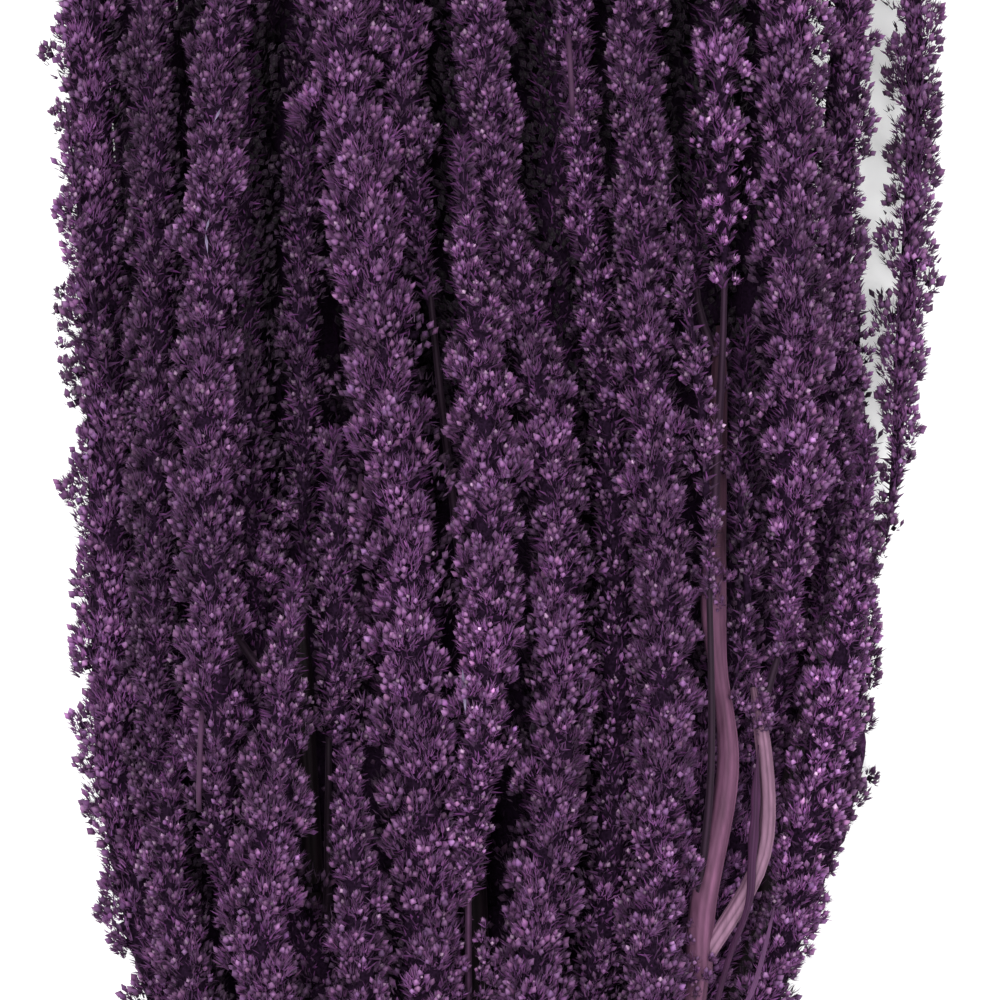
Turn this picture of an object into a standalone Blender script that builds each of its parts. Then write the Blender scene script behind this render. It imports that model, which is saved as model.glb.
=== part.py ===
"""An amaranth seed head, cut with its stalk and lying on its side, the tips of its tassels towards +Y."""

from collections import namedtuple

import bpy
import bmesh
import numpy as np

MM = 0.001
SEED = 17

# Every length below is in millimetres, and tube() turns it into metres.
# The head is laid out in rows across it, and each tassel has one place (x, z) in each row it crosses.
ROW_STEP = 5.0
LOWEST_ROW = -195.0
HIGHEST_ROW = 180.0

# How the tassels are settled against each other.
ROUNDS = 600
LAST_ROUNDS = 120
TASSEL_GAP = 0.8
PUSH = 0.6
LONGEST_PUSH = 2.0
PULL = 0.03
STEEPEST = 1.5
FLOOR_PRESS = 0.9
BRANCH_CLEAR = 0.4
STRAIGHTEN = 0.2
LAST_STRAIGHTEN = 0.06

# A tassel's outline: how thin it is at its foot and at its tip, and over what length it gets there.
FOOT_SHARE = 0.4
FOOT_LENGTH = 34.0
TIP_SHARE = 0.3
TIP_LENGTH = 42.0

# A tassel: rings of flower clusters, one cluster in and the next one out.
RING_PITCH = 6.2
SIDES = 6
UNDERSIDES = (3, 4)
EDGES = (2, 5)
OUT_RANGE = (0.93, 1.0)
IN_RANGE = (0.66, 0.76)
LEAN = 1.3
POINT_RADIUS = 0.5
BEAD_WAIST = 0.62
PRESSED_BELOW = 2.6

# The stalk: ribbed limbs, and the thin branches that carry the tassels.
LIMB_RING = 12.0
LIMB_SIDES = 8
RIB_DEPTH = 0.13
BRANCH_SIDES = 4
BRANCH_RING = 20.0
BRANCH_RADIUS = 1.0
SEAT_GAP = 0.35

# The head is deepest in its lower half and thins towards the tips.
THIN_FROM = 70.0
THIN_OVER = 95.0
THIN_BY = 0.62

# The limbs: radius at the foot and at the end, then points (y, x, z) along the middle.
LIMBS = {
    "main": (4.4, 1.6, ((-238, 6, 4.6), (-205, 4, 7.5), (-165, 1, 11.5), (-120, -2, 15), (-80, -4, 18),
                        (-14, -5, 20))),
    "left": (2.7, 1.4, ((-172, 1, 11), (-150, -6, 13), (-120, -18, 15), (-70, -30, 17), (-20, -32, 20))),
    "front": (3.2, 2.4, ((-168, 1, 11.5), (-140, 7, 17), (-115, 18, 25), (-90, 29.5, 30), (-70, 32.6, 32))),
    "front_left": (2.3, 1.4, ((-76, 31.8, 31.4), (-68, 31.6, 32.4), (-63.5, 32.3, 33), (-55.5, 34.3, 33),
                              (-48, 36, 33), (-41.5, 37, 33), (-36, 36.4, 32.8), (-30, 35.2, 32.5),
                              (-21, 34, 32), (-14, 33.9, 31.5), (-4, 34.8, 30), (11, 35, 28),
                              (28, 35.4, 25))),
    "front_right": (1.5, 1.25, ((-74, 32, 31.6), (-68, 35.4, 32.6), (-64, 38.6, 32.8), (-61, 41.2, 32.8),
                                (-57.5, 42.5, 32.6), (-52.6, 43, 32.4), (-44, 42.7, 31.6),
                                (-36, 41.8, 30.5), (-30, 40.6, 29.4))),
    "right": (2.5, 1.4, ((-160, 0, 12), (-140, 8, 12), (-110, 26, 13), (-70, 42, 14), (-26, 52, 16))),
}

# The tassels that show from above: radius, height, how loosely they keep their place, the limb that carries
# them, where their branch leaves it, then points (y, x) from the lowest flower to the tip.
UPPER = {
    "left_edge": (4.6, 12, 0.5, "main", -168, ((-123, -35), (-80, -58), (-40, -62), (0, -63), (80, -68),
                                               (118, -69))),
    "left_outer": (4.6, 23, 0.4, "main", -176, ((-133, -28), (-80, -52), (-40, -55), (40, -55.5),
                                                (140, -58))),
    "left_column": (6.0, 32, 0.2, "left", -106, ((-72, -44), (0, -47), (40, -46.5), (80, -43.8), (150, -41))),
    "left_low": (5.4, 30, 0.4, "left", -158, ((-129, -30), (-80, -48), (-56, -48), (-32, -46))),
    "left_bright": (6.2, 38, 0.1, "main", -180, ((-136, -21), (-80, -41.5), (-40, -36), (-10, -32.5))),
    "left_dark": (4.1, 22, 0.5, "left", -24, ((-14, -31), (19, -32), (41, -32.5), (75, -31), (104, -30))),
    "left_spear": (3.6, 33, 0.3, "left", -74, ((-40, -27), (-10, -27), (12, -28))),
    "low_spear": (5.2, 39, 0.3, "main", -176, ((-136, -11), (-80, -20), (-56, -20.6), (-39, -23))),
    "inner_column": (6.6, 35, 0.2, "main", -170, ((-129, -7), (-80, -11), (-40, -12), (0, -15), (40, -20.5),
                                                  (80, -25.5), (165, -26))),
    "inner_top": (4.8, 31, 0.3, "main", -24, ((32, -11), (56, -15), (80, -15.6), (135, -14.5))),
    "centre_spear": (5.6, 41, 0.1, "main", -112, ((-62, -5), (-48, -2.5), (16, -1.6), (35, -3.5),
                                                  (58, -7.5))),
    "centre_column": (6.4, 35, 0.15, "main", -184, ((-139, 4), (-80, 8), (-56, 8), (-40, 11), (-8, 10),
                                                    (16, 8.6), (24, 6), (36, 1.2), (52, -1.5), (80, -2),
                                                    (170, -2))),
    "right_inner": (4.8, 31, 0.3, "main", -168, ((-126, 11), (-80, 18.4), (0, 19.5), (24, 18.6),
                                                 (36, 16.6), (54, 14.2), (80, 11.5), (132, 10))),
    "right_column": (6.0, 36, 0.15, "front", -150, ((-116, 17), (-80, 26), (-40, 26.5), (0, 24.8),
                                                    (64, 22.8), (80, 22), (155, 21.4))),
    "right_spear": (3.4, 41.5, 0.3, "front", -92, ((-16, 33.4), (8, 30.8), (24, 28.8), (40, 26.8),
                                                  (57, 24.3))),
    "fork_spear": (3.4, 31, 0.4, "front_left", -60, ((-34, 39.6), (-20, 39), (0, 39), (18, 38.6))),
    "beaded": (4.2, 34, 0.3, "front_left", -12, ((33.5, 36.5), (56, 35.8), (80, 34.8), (125, 34))),
    "right_wide": (6.6, 31, 0.15, "front_right", -34, ((-24, 42), (-8, 45.5), (20, 47), (56, 46.4),
                                                       (80, 46), (160, 44))),
    "right_low": (5.2, 15, 0.5, "right", -146, ((-117, 22), (-80, 36), (-64, 41), (-40, 46), (-18, 49))),
    "right_back": (5.0, 20, 0.4, "right", -30, ((-20, 54), (13, 54), (54, 53.8), (68, 55), (80, 57.5),
                                                 (120, 60))),
    "right_bright": (5.4, 24, 0.15, "right", -152, ((-123, 23), (-80, 41.5), (-64, 46), (-48, 50.5),
                                                    (-32, 54.5), (-16, 57.5), (0, 59.5), (12, 58.6))),
    "right_sprig": (2.5, 12, 0.5, "right", -40, ((2, 59), (20, 58), (32, 58.5), (46, 59))),
    "right_edge": (4.4, 7, 0.3, "right", -56, ((-6, 64), (4, 63.6), (16, 63.4), (32, 65), (48, 67.4),
                                               (64, 67), (80, 66.4), (122, 66))),
    "left_sprig": (2.6, 20, 0.4, "left", -42, ((12, -65), (43, -67.5), (65, -70.5))),
    # The outermost of the tassels it lies on starts further up than the rest of them.
    "lower_10": (5.4, None, 0.8, "right", -104, ((-72, 44), (-40, 51), (0, 54), (46, 54))),
}

# The tassels inside the head, and those it lies on, run straighter: radius, x half way up, limb, where the
# branch leaves it, lowest flower, tip.
INNER = (
    (5.8, -43, "left", -136, -105, 118),
    (5.8, -19, "left", -144, -88, 138),
    (5.8, -5, "main", -24, -8, 152),
    (5.6, 9, "main", -166, -107, 128),
    (5.8, 24, "front", -142, -92, 132),
    (5.4, 40, "right", -136, -109, 30),
    (5.4, 36, "front_left", 24, 34, 140),
)
LOWER = (
    (5.4, -56, "left", -165, -113, 98),
    (6.0, -44, "left", -160, -129, 126),
    (5.8, -31.5, "main", -186, -145, 108),
    (6.2, -19, "main", -178, -128, 142),
    (5.8, -6.5, "main", -188, -152, 120),
    (6.2, 6, "main", -180, -134, 150),
    (5.8, 18.5, "main", -190, -148, 112),
    (6.0, 31, "right", -144, -117, 136),
    (6.0, 43.5, "right", -150, -127, 104),
)
INNER_HEIGHT = 19.0
LOWER_HEIGHT = 6.0
LOWER_REST = 0.95
LOOSE = 0.8
# How far out an inner or lower tassel is, along its length.
FAN = ((0.0, 0.5), (0.12, 0.75), (0.3, 0.95), (0.5, 1.0), (1.0, 1.0))

# Tassels whose clusters stand apart like beads.
BEADED = ("beaded", "right_edge", "right_spear", "fork_spear", "left_sprig", "right_sprig")

# Narrow leaves: half width and half thickness, the limb that carries them, then points (y, x, z, share of
# the half width) from the foot to the tip.
LEAVES = {
    "curled_leaf": (1.15, 0.34, "front", (
        (-81, 34.6, 30.4, 0.5), (-75, 36, 31, 0.5), (-70.5, 37.4, 32.4, 0.5), (-67, 38.8, 34.6, 0.5),
        (-63, 39.9, 35.5, 0.55), (-58.5, 40, 35, 0.7), (-53.1, 40.4, 34.4, 1.0), (-50, 40.7, 34.2, 0.7),
        (-46.4, 40.7, 34, 1.0), (-43, 40.9, 33.8, 0.8), (-39, 41.2, 33.4, 0.2))),
    "straight_leaf": (0.75, 0.34, "front", (
        (-98, 27.4, 31.3, 0.5), (-91, 32, 33.4, 0.7), (-85, 36.4, 34.6, 0.9), (-78, 40.3, 34.8, 1.0),
        (-70, 42.5, 34.6, 0.9), (-64, 43.8, 34.2, 0.3))),
}

Tassel = namedtuple("Tassel", "name radius height loose limb leave base tip points")


def smooth(t):
    t = np.clip(t, 0.0, 1.0)
    return t * t * (3.0 - 2.0 * t)


def all_tassels():
    """Every tassel of the head, as one list of records."""
    tassels = []
    for name, (radius, height, loose, limb, leave, points) in UPPER.items():
        base, tip = points[0][0], points[-1][0]
        tassels.append(Tassel(name, radius, height, loose, limb, leave, base, tip, points))
    for kind, height, rows in (("inner", INNER_HEIGHT, INNER), ("lower", None, LOWER)):
        for number, (radius, x, limb, leave, base, tip) in enumerate(rows, 1):
            points = tuple((base + share * (tip - base), out * x) for share, out in FAN)
            tassels.append(Tassel(f"{kind}_{number}", radius, height, LOOSE, limb, leave, base, tip, points))
    return tassels


def rows():
    return np.arange(LOWEST_ROW, HIGHEST_ROW + 0.1, ROW_STEP)


def limb_place(limb, y):
    """The middle (x, z) of a limb, and its radius, at the rows y."""
    foot, end, points = LIMBS[limb]
    ys, xs, zs = np.array(points, float).T
    radius = foot + (end - foot) * np.clip((y - ys[0]) / (ys[-1] - ys[0]), 0.0, 1.0)
    return np.stack([np.interp(y, ys, xs), np.interp(y, ys, zs)], axis=-1), radius


def flower_radius(tassel, y):
    """The tassel's outer radius at the rows y, narrower at its foot and drawn out to its tip."""
    length = tassel.tip - tassel.base
    foot = smooth((y - tassel.base) / min(FOOT_LENGTH, 0.4 * length))
    tip = smooth((tassel.tip - y) / min(TIP_LENGTH, 0.6 * length))
    shares = np.minimum(FOOT_SHARE + (1.0 - FOOT_SHARE) * foot, TIP_SHARE + (1.0 - TIP_SHARE) * tip)
    return tassel.radius * shares


def planned_route(tassel, ys):
    """Where the tassel and its branch would like to be at the rows ys."""
    points = np.array(tassel.points, float)
    x = np.interp(ys, points[:, 0], points[:, 1])
    if tassel.height is None:
        z = LOWER_REST * flower_radius(tassel, ys)
    else:
        kept = 1.0 - THIN_BY * smooth((ys - THIN_FROM) / THIN_OVER)
        z = LOWER_HEIGHT + (tassel.height - LOWER_HEIGHT) * kept
    start, _ = limb_place(tassel.limb, np.array([float(tassel.leave)]))
    foot = np.array([np.interp(tassel.base, ys, x), np.interp(tassel.base, ys, z)])
    t = np.clip((ys - tassel.leave) / (tassel.base - tassel.leave), 0.0, 1.0)
    ease = (0.5 * t + 0.5 * smooth(t))[:, None]
    branch = start + (foot - start) * ease
    return np.where((ys < tassel.base)[:, None], branch, np.stack([x, z], axis=-1))


def stretch(places, alive):
    """How much wider a slanting tube cuts its row than an upright one."""
    slope = np.gradient(places, ROW_STEP, axis=1)
    slope = np.where(alive[..., None], slope, 0.0)
    return np.sqrt(1.0 + np.minimum((slope ** 2).sum(axis=-1), STEEPEST))


def push_apart(places, reach, flowers, alive, loose):
    """Moves that part each pair of tubes that is too close in a row; branches may cross each other."""
    offset = places[:, None] - places[None]
    distance = np.sqrt((offset ** 2).sum(axis=-1)) + 1e-9
    wanted = reach[:, None] + reach[None] + TASSEL_GAP
    both = alive[:, None] & alive[None] & (flowers[:, None] | flowers[None])
    short = np.where(both, np.maximum(wanted - distance, 0.0), 0.0)
    short[np.arange(len(places)), np.arange(len(places))] = 0.0
    share = loose[:, None] / (loose[:, None] + loose[None])
    return (offset / distance[..., None] * (short * share)[..., None]).sum(axis=1)


def push_off_limbs(places, reach, flowers, limb_places, limb_reach, limb_alive):
    """Moves that take flowers off the limbs."""
    offset = places[:, None] - limb_places[None]
    distance = np.sqrt((offset ** 2).sum(axis=-1)) + 1e-9
    wanted = reach[:, None] + limb_reach[None] + TASSEL_GAP
    short = np.where(flowers[:, None] & limb_alive[None], np.maximum(wanted - distance, 0.0), 0.0)
    return (offset / distance[..., None] * short[..., None]).sum(axis=1)


def settle(tassels):
    """The places of all tassels in all rows, once they lie clear of each other and of the limbs."""
    ys = rows()
    wish = np.array([planned_route(tassel, ys) for tassel in tassels])
    base = np.array([tassel.base for tassel in tassels])[:, None]
    leave = np.array([tassel.leave for tassel in tassels])[:, None]
    tip = np.array([tassel.tip for tassel in tassels])[:, None]
    loose = np.array([tassel.loose for tassel in tassels])[:, None]
    alive = (ys > leave - ROW_STEP) & (ys < tip + ROW_STEP)
    flowers = alive & (ys > base - ROW_STEP)
    free = alive & (ys > leave + 0.5 * ROW_STEP)
    radius = np.array([flower_radius(tassel, ys) for tassel in tassels])
    radius = np.where(flowers, radius, BRANCH_RADIUS)
    limb_places = np.array([limb_place(limb, ys)[0] for limb in LIMBS])
    limb_radius = np.array([limb_place(limb, ys)[1] for limb in LIMBS])
    spans = [(points[0][0], points[-1][0]) for _, _, points in LIMBS.values()]
    limb_alive = np.array([(ys >= low) & (ys <= high + 0.5 * ROW_STEP) for low, high in spans])
    limb_reach = limb_radius * stretch(limb_places, limb_alive)
    floor = np.where(flowers, radius - FLOOR_PRESS, BRANCH_RADIUS + BRANCH_CLEAR)
    places = wish.copy()
    for turn in range(ROUNDS):
        last = turn >= ROUNDS - LAST_ROUNDS
        reach = radius * stretch(places, alive)
        move = push_apart(places, reach, flowers, alive, loose)
        move += push_off_limbs(places, reach, flowers, limb_places, limb_reach, limb_alive)
        length = np.sqrt((move ** 2).sum(axis=-1, keepdims=True)) + 1e-9
        move *= PUSH * np.minimum(1.0, LONGEST_PUSH / length)
        if not last:
            move += PULL * (1.0 - loose)[..., None] * (wish - places)
        inside = free[:, 1:-1] & alive[:, 2:] & alive[:, :-2]
        bend = 0.5 * (places[:, 2:] + places[:, :-2]) - places[:, 1:-1]
        move[:, 1:-1] += (LAST_STRAIGHTEN if last else STRAIGHTEN) * np.where(inside[..., None], bend, 0.0)
        places = np.where(free[..., None], places + move, places)
        places[..., 1] = np.where(free, np.maximum(places[..., 1], floor), places[..., 1])
    return places, alive


def route(places, alive, ys):
    """The points (x, y, z) of one settled tassel at the heights ys."""
    own = rows()[alive]
    x = np.interp(ys, own, places[alive, 0])
    z = np.interp(ys, own, places[alive, 1])
    return np.stack([x, ys, z], axis=-1)


def tube_mesh(name, centres, radii, sides):
    """A tube through the points: the end cap's vertices, the foot cap's, then ring after ring."""
    curve = bpy.data.curves.new(name, "CURVE")
    curve.dimensions = "3D"
    curve.twist_mode = "Z_UP"
    curve.bevel_depth = MM
    curve.bevel_resolution = sides // 2 - 2
    curve.use_fill_caps = True
    spline = curve.splines.new("POLY")
    spline.points.add(len(centres) - 1)
    for point, centre, radius in zip(spline.points, centres, radii):
        point.co = (centre[0] * MM, centre[1] * MM, centre[2] * MM, 1.0)
        point.radius = radius
    carrier = bpy.data.objects.new(name, curve)
    bpy.context.scene.collection.objects.link(carrier)
    bpy.context.view_layer.update()
    graph = bpy.context.evaluated_depsgraph_get()
    mesh = bpy.data.meshes.new_from_object(carrier.evaluated_get(graph))
    bpy.data.objects.remove(carrier, do_unlink=True)
    bpy.data.curves.remove(curve)
    return mesh


def reshape(mesh, sides, ring_count, place):
    """Puts each vertex of a tube where place(ring, side, position) says, and welds the caps."""
    for index, vertex in enumerate(mesh.vertices):
        block = index // sides
        ring = (ring_count - 1, 0)[block] if block < 2 else block - 2
        vertex.co = place(ring, index % sides, np.array(vertex.co) / MM) * MM
    shape = bmesh.new()
    shape.from_mesh(mesh)
    bmesh.ops.remove_doubles(shape, verts=shape.verts, dist=0.01 * MM)
    # Each four-sided face folds along its shorter diagonal, the one between its two inner corners.
    bmesh.ops.triangulate(shape, faces=shape.faces, quad_method="SHORT_EDGE")
    shape.to_mesh(mesh)
    shape.free()


def add_object(name, mesh, material, parts, head):
    """A named object of the model, under the head's empty."""
    mesh.name = name
    mesh.materials.clear()
    mesh.materials.append(material)
    thing = bpy.data.objects.new(name, mesh)
    parts.objects.link(thing)
    thing.parent = head
    return thing


def dried_material(name, colour, roughness):
    material = bpy.data.materials.new(name)
    material.use_nodes = True
    shader = material.node_tree.nodes["Principled BSDF"]
    shader.inputs["Base Color"].default_value = (*colour, 1.0)
    shader.inputs["Roughness"].default_value = roughness
    shader.inputs["Metallic"].default_value = 0.0
    material.diffuse_color = (*colour, 1.0)
    return material


def along(low, high, pitch):
    """Evenly spaced heights from low to high, about a pitch apart."""
    return np.linspace(low, high, max(3, round((high - low) / pitch) + 1))


def tassel_mesh(tassel, places, alive, draw):
    """A tassel: a six-sided tube whose flower clusters stand out and lean towards the tip by turns."""
    ys = along(tassel.base, tassel.tip, RING_PITCH)
    centres = route(places, alive, ys)
    radii = flower_radius(tassel, ys)
    radii[-1] = POINT_RADIUS
    last = len(ys) - 1
    ahead = np.gradient(centres, axis=0)
    ahead /= np.linalg.norm(ahead, axis=1, keepdims=True)
    sizes = np.empty((len(ys), SIDES))
    leans = np.zeros((len(ys), SIDES))
    for ring in range(len(ys)):
        waist = BEAD_WAIST if tassel.name in BEADED and ring % 2 else 1.0
        for side in range(SIDES):
            stands_out = (ring + side) % 2 == 0
            sizes[ring, side] = waist * draw.uniform(*(OUT_RANGE if stands_out else IN_RANGE))
            leans[ring, side] = LEAN * waist if stands_out else 0.0
    sizes[[0, last]] = 1.0
    leans[[0, last]] = 0.0

    def place(ring, side, position):
        moved = centres[ring] + (position - centres[ring]) * sizes[ring, side]
        moved += ahead[ring] * leans[ring, side]
        if side in UNDERSIDES and moved[2] < PRESSED_BELOW:
            moved[2] = 0.0
        return moved

    mesh = tube_mesh(tassel.name, centres, radii, SIDES)
    reshape(mesh, SIDES, len(ys), place)
    return mesh


def ribbed_limb(limb):
    """A limb of the stalk, eight-sided, with every second edge drawn in between its ribs."""
    points = LIMBS[limb][2]
    ys = along(points[0][0], points[-1][0], LIMB_RING)
    middle, radii = limb_place(limb, ys)
    centres = np.stack([middle[:, 0], ys, middle[:, 1]], axis=-1)

    def place(ring, side, position):
        share = 1.0 - RIB_DEPTH * (side % 2)
        return centres[ring] + (position - centres[ring]) * share

    mesh = tube_mesh(limb, centres, radii, LIMB_SIDES)
    reshape(mesh, LIMB_SIDES, len(ys), place)
    return mesh


def branch_mesh(tassel, places, alive):
    """The thin branch from a limb up to the tassel's foot, four-sided."""
    foot = route(places, alive, np.array([tassel.base, tassel.base + 1.0]))
    step = foot[1] - foot[0]
    seat = tassel.base - SEAT_GAP / np.linalg.norm(step) * step[1]
    ys = along(tassel.leave, seat, BRANCH_RING)
    centres = route(places, alive, ys)
    mesh = tube_mesh("branch", centres, np.full(len(ys), BRANCH_RADIUS), BRANCH_SIDES)
    reshape(mesh, BRANCH_SIDES, len(ys), lambda ring, side, position: position)
    return mesh


def stalk_mesh(tassels, places, alive):
    """The whole stalk: its limbs and branches joined in one solid."""
    pieces = bpy.data.collections.new("stalk_pieces")
    bpy.context.scene.collection.children.link(pieces)
    meshes = [ribbed_limb(limb) for limb in LIMBS]
    meshes += [branch_mesh(tassel, places[k], alive[k]) for k, tassel in enumerate(tassels)]
    axis = bpy.data.objects.new("axis", meshes[0])
    bpy.context.scene.collection.objects.link(axis)
    for number, mesh in enumerate(meshes[1:]):
        piece = bpy.data.objects.new(f"piece_{number}", mesh)
        pieces.objects.link(piece)
        piece.hide_render = True
        piece.display_type = "WIRE"
    union = axis.modifiers.new("union", "BOOLEAN")
    union.operation = "UNION"
    union.operand_type = "COLLECTION"
    union.collection = pieces
    union.solver = "EXACT"
    bpy.context.view_layer.update()
    graph = bpy.context.evaluated_depsgraph_get()
    joined = bpy.data.meshes.new_from_object(axis.evaluated_get(graph))
    for piece in list(pieces.objects):
        bpy.data.objects.remove(piece, do_unlink=True)
    bpy.data.objects.remove(axis, do_unlink=True)
    bpy.data.collections.remove(pieces)
    return joined


def leaf_mesh(leaf):
    """A narrow leaf: a tube pressed thin across its width."""
    half_width, half_thickness, _, points = LEAVES[leaf]
    ys, xs, zs, shares = np.array(points, float).T
    centres = np.stack([xs, ys, zs], axis=-1)
    radii = half_width * shares

    def place(ring, side, position):
        offset = position - centres[ring]
        across = np.array([offset[0], offset[1], 0.0])
        up = 0.0 if side in EDGES else half_thickness * np.sign(offset[2])
        return centres[ring] + across + np.array([0.0, 0.0, up])

    mesh = tube_mesh(leaf, centres, radii, SIDES)
    reshape(mesh, SIDES, len(ys), place)
    return mesh


def stand_on_origin(head, things):
    """Moves the head so that the middle of its box's bottom is at the origin."""
    bpy.context.view_layer.update()
    corners = np.array([thing.matrix_world @ vertex.co for thing in things for vertex in thing.data.vertices])
    low, high = corners.min(axis=0), corners.max(axis=0)
    head.location = (-0.5 * (low[0] + high[0]), -0.5 * (low[1] + high[1]), -low[2])
    bpy.context.view_layer.update()


def main():
    for thing in list(bpy.data.objects):
        bpy.data.objects.remove(thing, do_unlink=True)
    parts = bpy.data.collections.new("amaranth_seed_head")
    bpy.context.scene.collection.children.link(parts)
    head = bpy.data.objects.new("head_origin", None)
    parts.objects.link(head)
    draw = np.random.default_rng(SEED)
    tassels = all_tassels()
    places, alive = settle(tassels)
    things = []
    for number, tassel in enumerate(tassels):
        shade = draw.uniform(0.8, 1.25)
        material = dried_material(tassel.name, (0.060 * shade, 0.020 * shade, 0.065 * shade), 0.8)
        mesh = tassel_mesh(tassel, places[number], alive[number], draw)
        things.append(add_object(tassel.name, mesh, material, parts, head))
    stalk = dried_material("stalk", (0.190, 0.090, 0.140), 0.6)
    things.append(add_object("stalk", stalk_mesh(tassels, places, alive), stalk, parts, head))
    for leaf in LEAVES:
        green = dried_material(leaf, (0.070, 0.025, 0.075), 0.65)
        things.append(add_object(leaf, leaf_mesh(leaf), green, parts, head))
    stand_on_origin(head, things)


main()
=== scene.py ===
import math
from collections import namedtuple

import bpy
import numpy as np
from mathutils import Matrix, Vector


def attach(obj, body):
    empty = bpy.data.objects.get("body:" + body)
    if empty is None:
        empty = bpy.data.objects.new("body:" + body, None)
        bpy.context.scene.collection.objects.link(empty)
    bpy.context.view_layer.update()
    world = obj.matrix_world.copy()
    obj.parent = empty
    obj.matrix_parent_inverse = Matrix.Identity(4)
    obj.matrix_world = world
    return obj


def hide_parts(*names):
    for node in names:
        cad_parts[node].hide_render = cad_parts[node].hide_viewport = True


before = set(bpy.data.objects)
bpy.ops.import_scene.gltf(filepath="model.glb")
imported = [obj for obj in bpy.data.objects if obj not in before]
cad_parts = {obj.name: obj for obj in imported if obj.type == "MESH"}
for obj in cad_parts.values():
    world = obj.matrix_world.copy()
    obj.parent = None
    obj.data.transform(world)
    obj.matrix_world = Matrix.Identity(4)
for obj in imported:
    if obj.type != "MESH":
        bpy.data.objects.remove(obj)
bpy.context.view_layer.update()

# The amaranth seed head: every flower, bract, bud and hair of its tassels, its ribbed stalk and its leaves,
# on the routes that the solids follow. Lengths are in millimetres until a mesh is made.
MM = 0.001
SEED = 5

# From the head's own tables to the frame, whose origin is under the middle of the whole head.
HEAD_SHIFT = np.array([0.68238, 34.20845, 0.0])

# The head is laid out in rows across it, and each tassel has one place (x, z) in each row it crosses.
ROW_STEP = 5.0
LOWEST_ROW = -195.0
HIGHEST_ROW = 180.0

# How the tassels are settled against each other.
ROUNDS = 600
LAST_ROUNDS = 120
TASSEL_GAP = 0.8
PUSH = 0.6
LONGEST_PUSH = 2.0
PULL = 0.03
STEEPEST = 1.5
FLOOR_PRESS = 0.9
BRANCH_CLEAR = 0.4
STRAIGHTEN = 0.2
LAST_STRAIGHTEN = 0.06

# A tassel's outline: how thin it is at its foot and at its tip, and over what length it gets there.
FOOT_SHARE = 0.4
FOOT_LENGTH = 34.0
TIP_SHARE = 0.3
TIP_LENGTH = 42.0
# These lengths are at most these shares of the whole tassel's.
FOOT_MOST, TIP_MOST = 0.4, 0.6

# How far apart the beads of a beaded tassel are, and how thin it is between them.
RING_PITCH = 6.2
BEAD_WAIST = 0.62
# How much room the branches take while the tassels are settled.
BRANCH_RADIUS = 1.0

# The head is deepest in its lower half and thins towards the tips.
THIN_FROM = 70.0
THIN_OVER = 95.0
THIN_BY = 0.62

# The limbs: radius at the foot and at the end, then points (y, x, z) along the middle.
LIMBS = {
    "main": (4.4, 1.6, ((-238, 6, 4.6), (-205, 4, 7.5), (-165, 1, 11.5), (-120, -2, 15), (-80, -4, 18),
        (-14, -5, 20))),
    "left": (2.7, 1.4, ((-172, 1, 11), (-150, -6, 13), (-120, -18, 15), (-70, -30, 17), (-20, -32, 20))),
    "front": (3.2, 2.4, ((-168, 1, 11.5), (-140, 7, 17), (-115, 18, 25), (-90, 29.5, 30), (-70, 32.6, 32))),
    "front_left": (2.3, 1.4, ((-76, 31.8, 31.4), (-68, 31.6, 32.4), (-63.5, 32.3, 33),
        (-55.5, 34.3, 33), (-48, 36, 33), (-41.5, 37, 33), (-36, 36.4, 32.8), (-30, 35.2, 32.5),
        (-21, 34, 32), (-14, 33.9, 31.5), (-4, 34.8, 30), (11, 35, 28), (28, 35.4, 25))),
    "front_right": (1.5, 1.25, ((-74, 32, 31.6), (-68, 35.4, 32.6), (-64, 38.6, 32.8),
        (-61, 41.2, 32.8), (-57.5, 42.5, 32.6), (-52.6, 43, 32.4), (-44, 42.7, 31.6), (-36, 41.8, 30.5),
        (-30, 40.6, 29.4))),
    "right": (2.5, 1.4, ((-160, 0, 12), (-140, 8, 12), (-110, 26, 13), (-70, 42, 14), (-26, 52, 16))),
}

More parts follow.
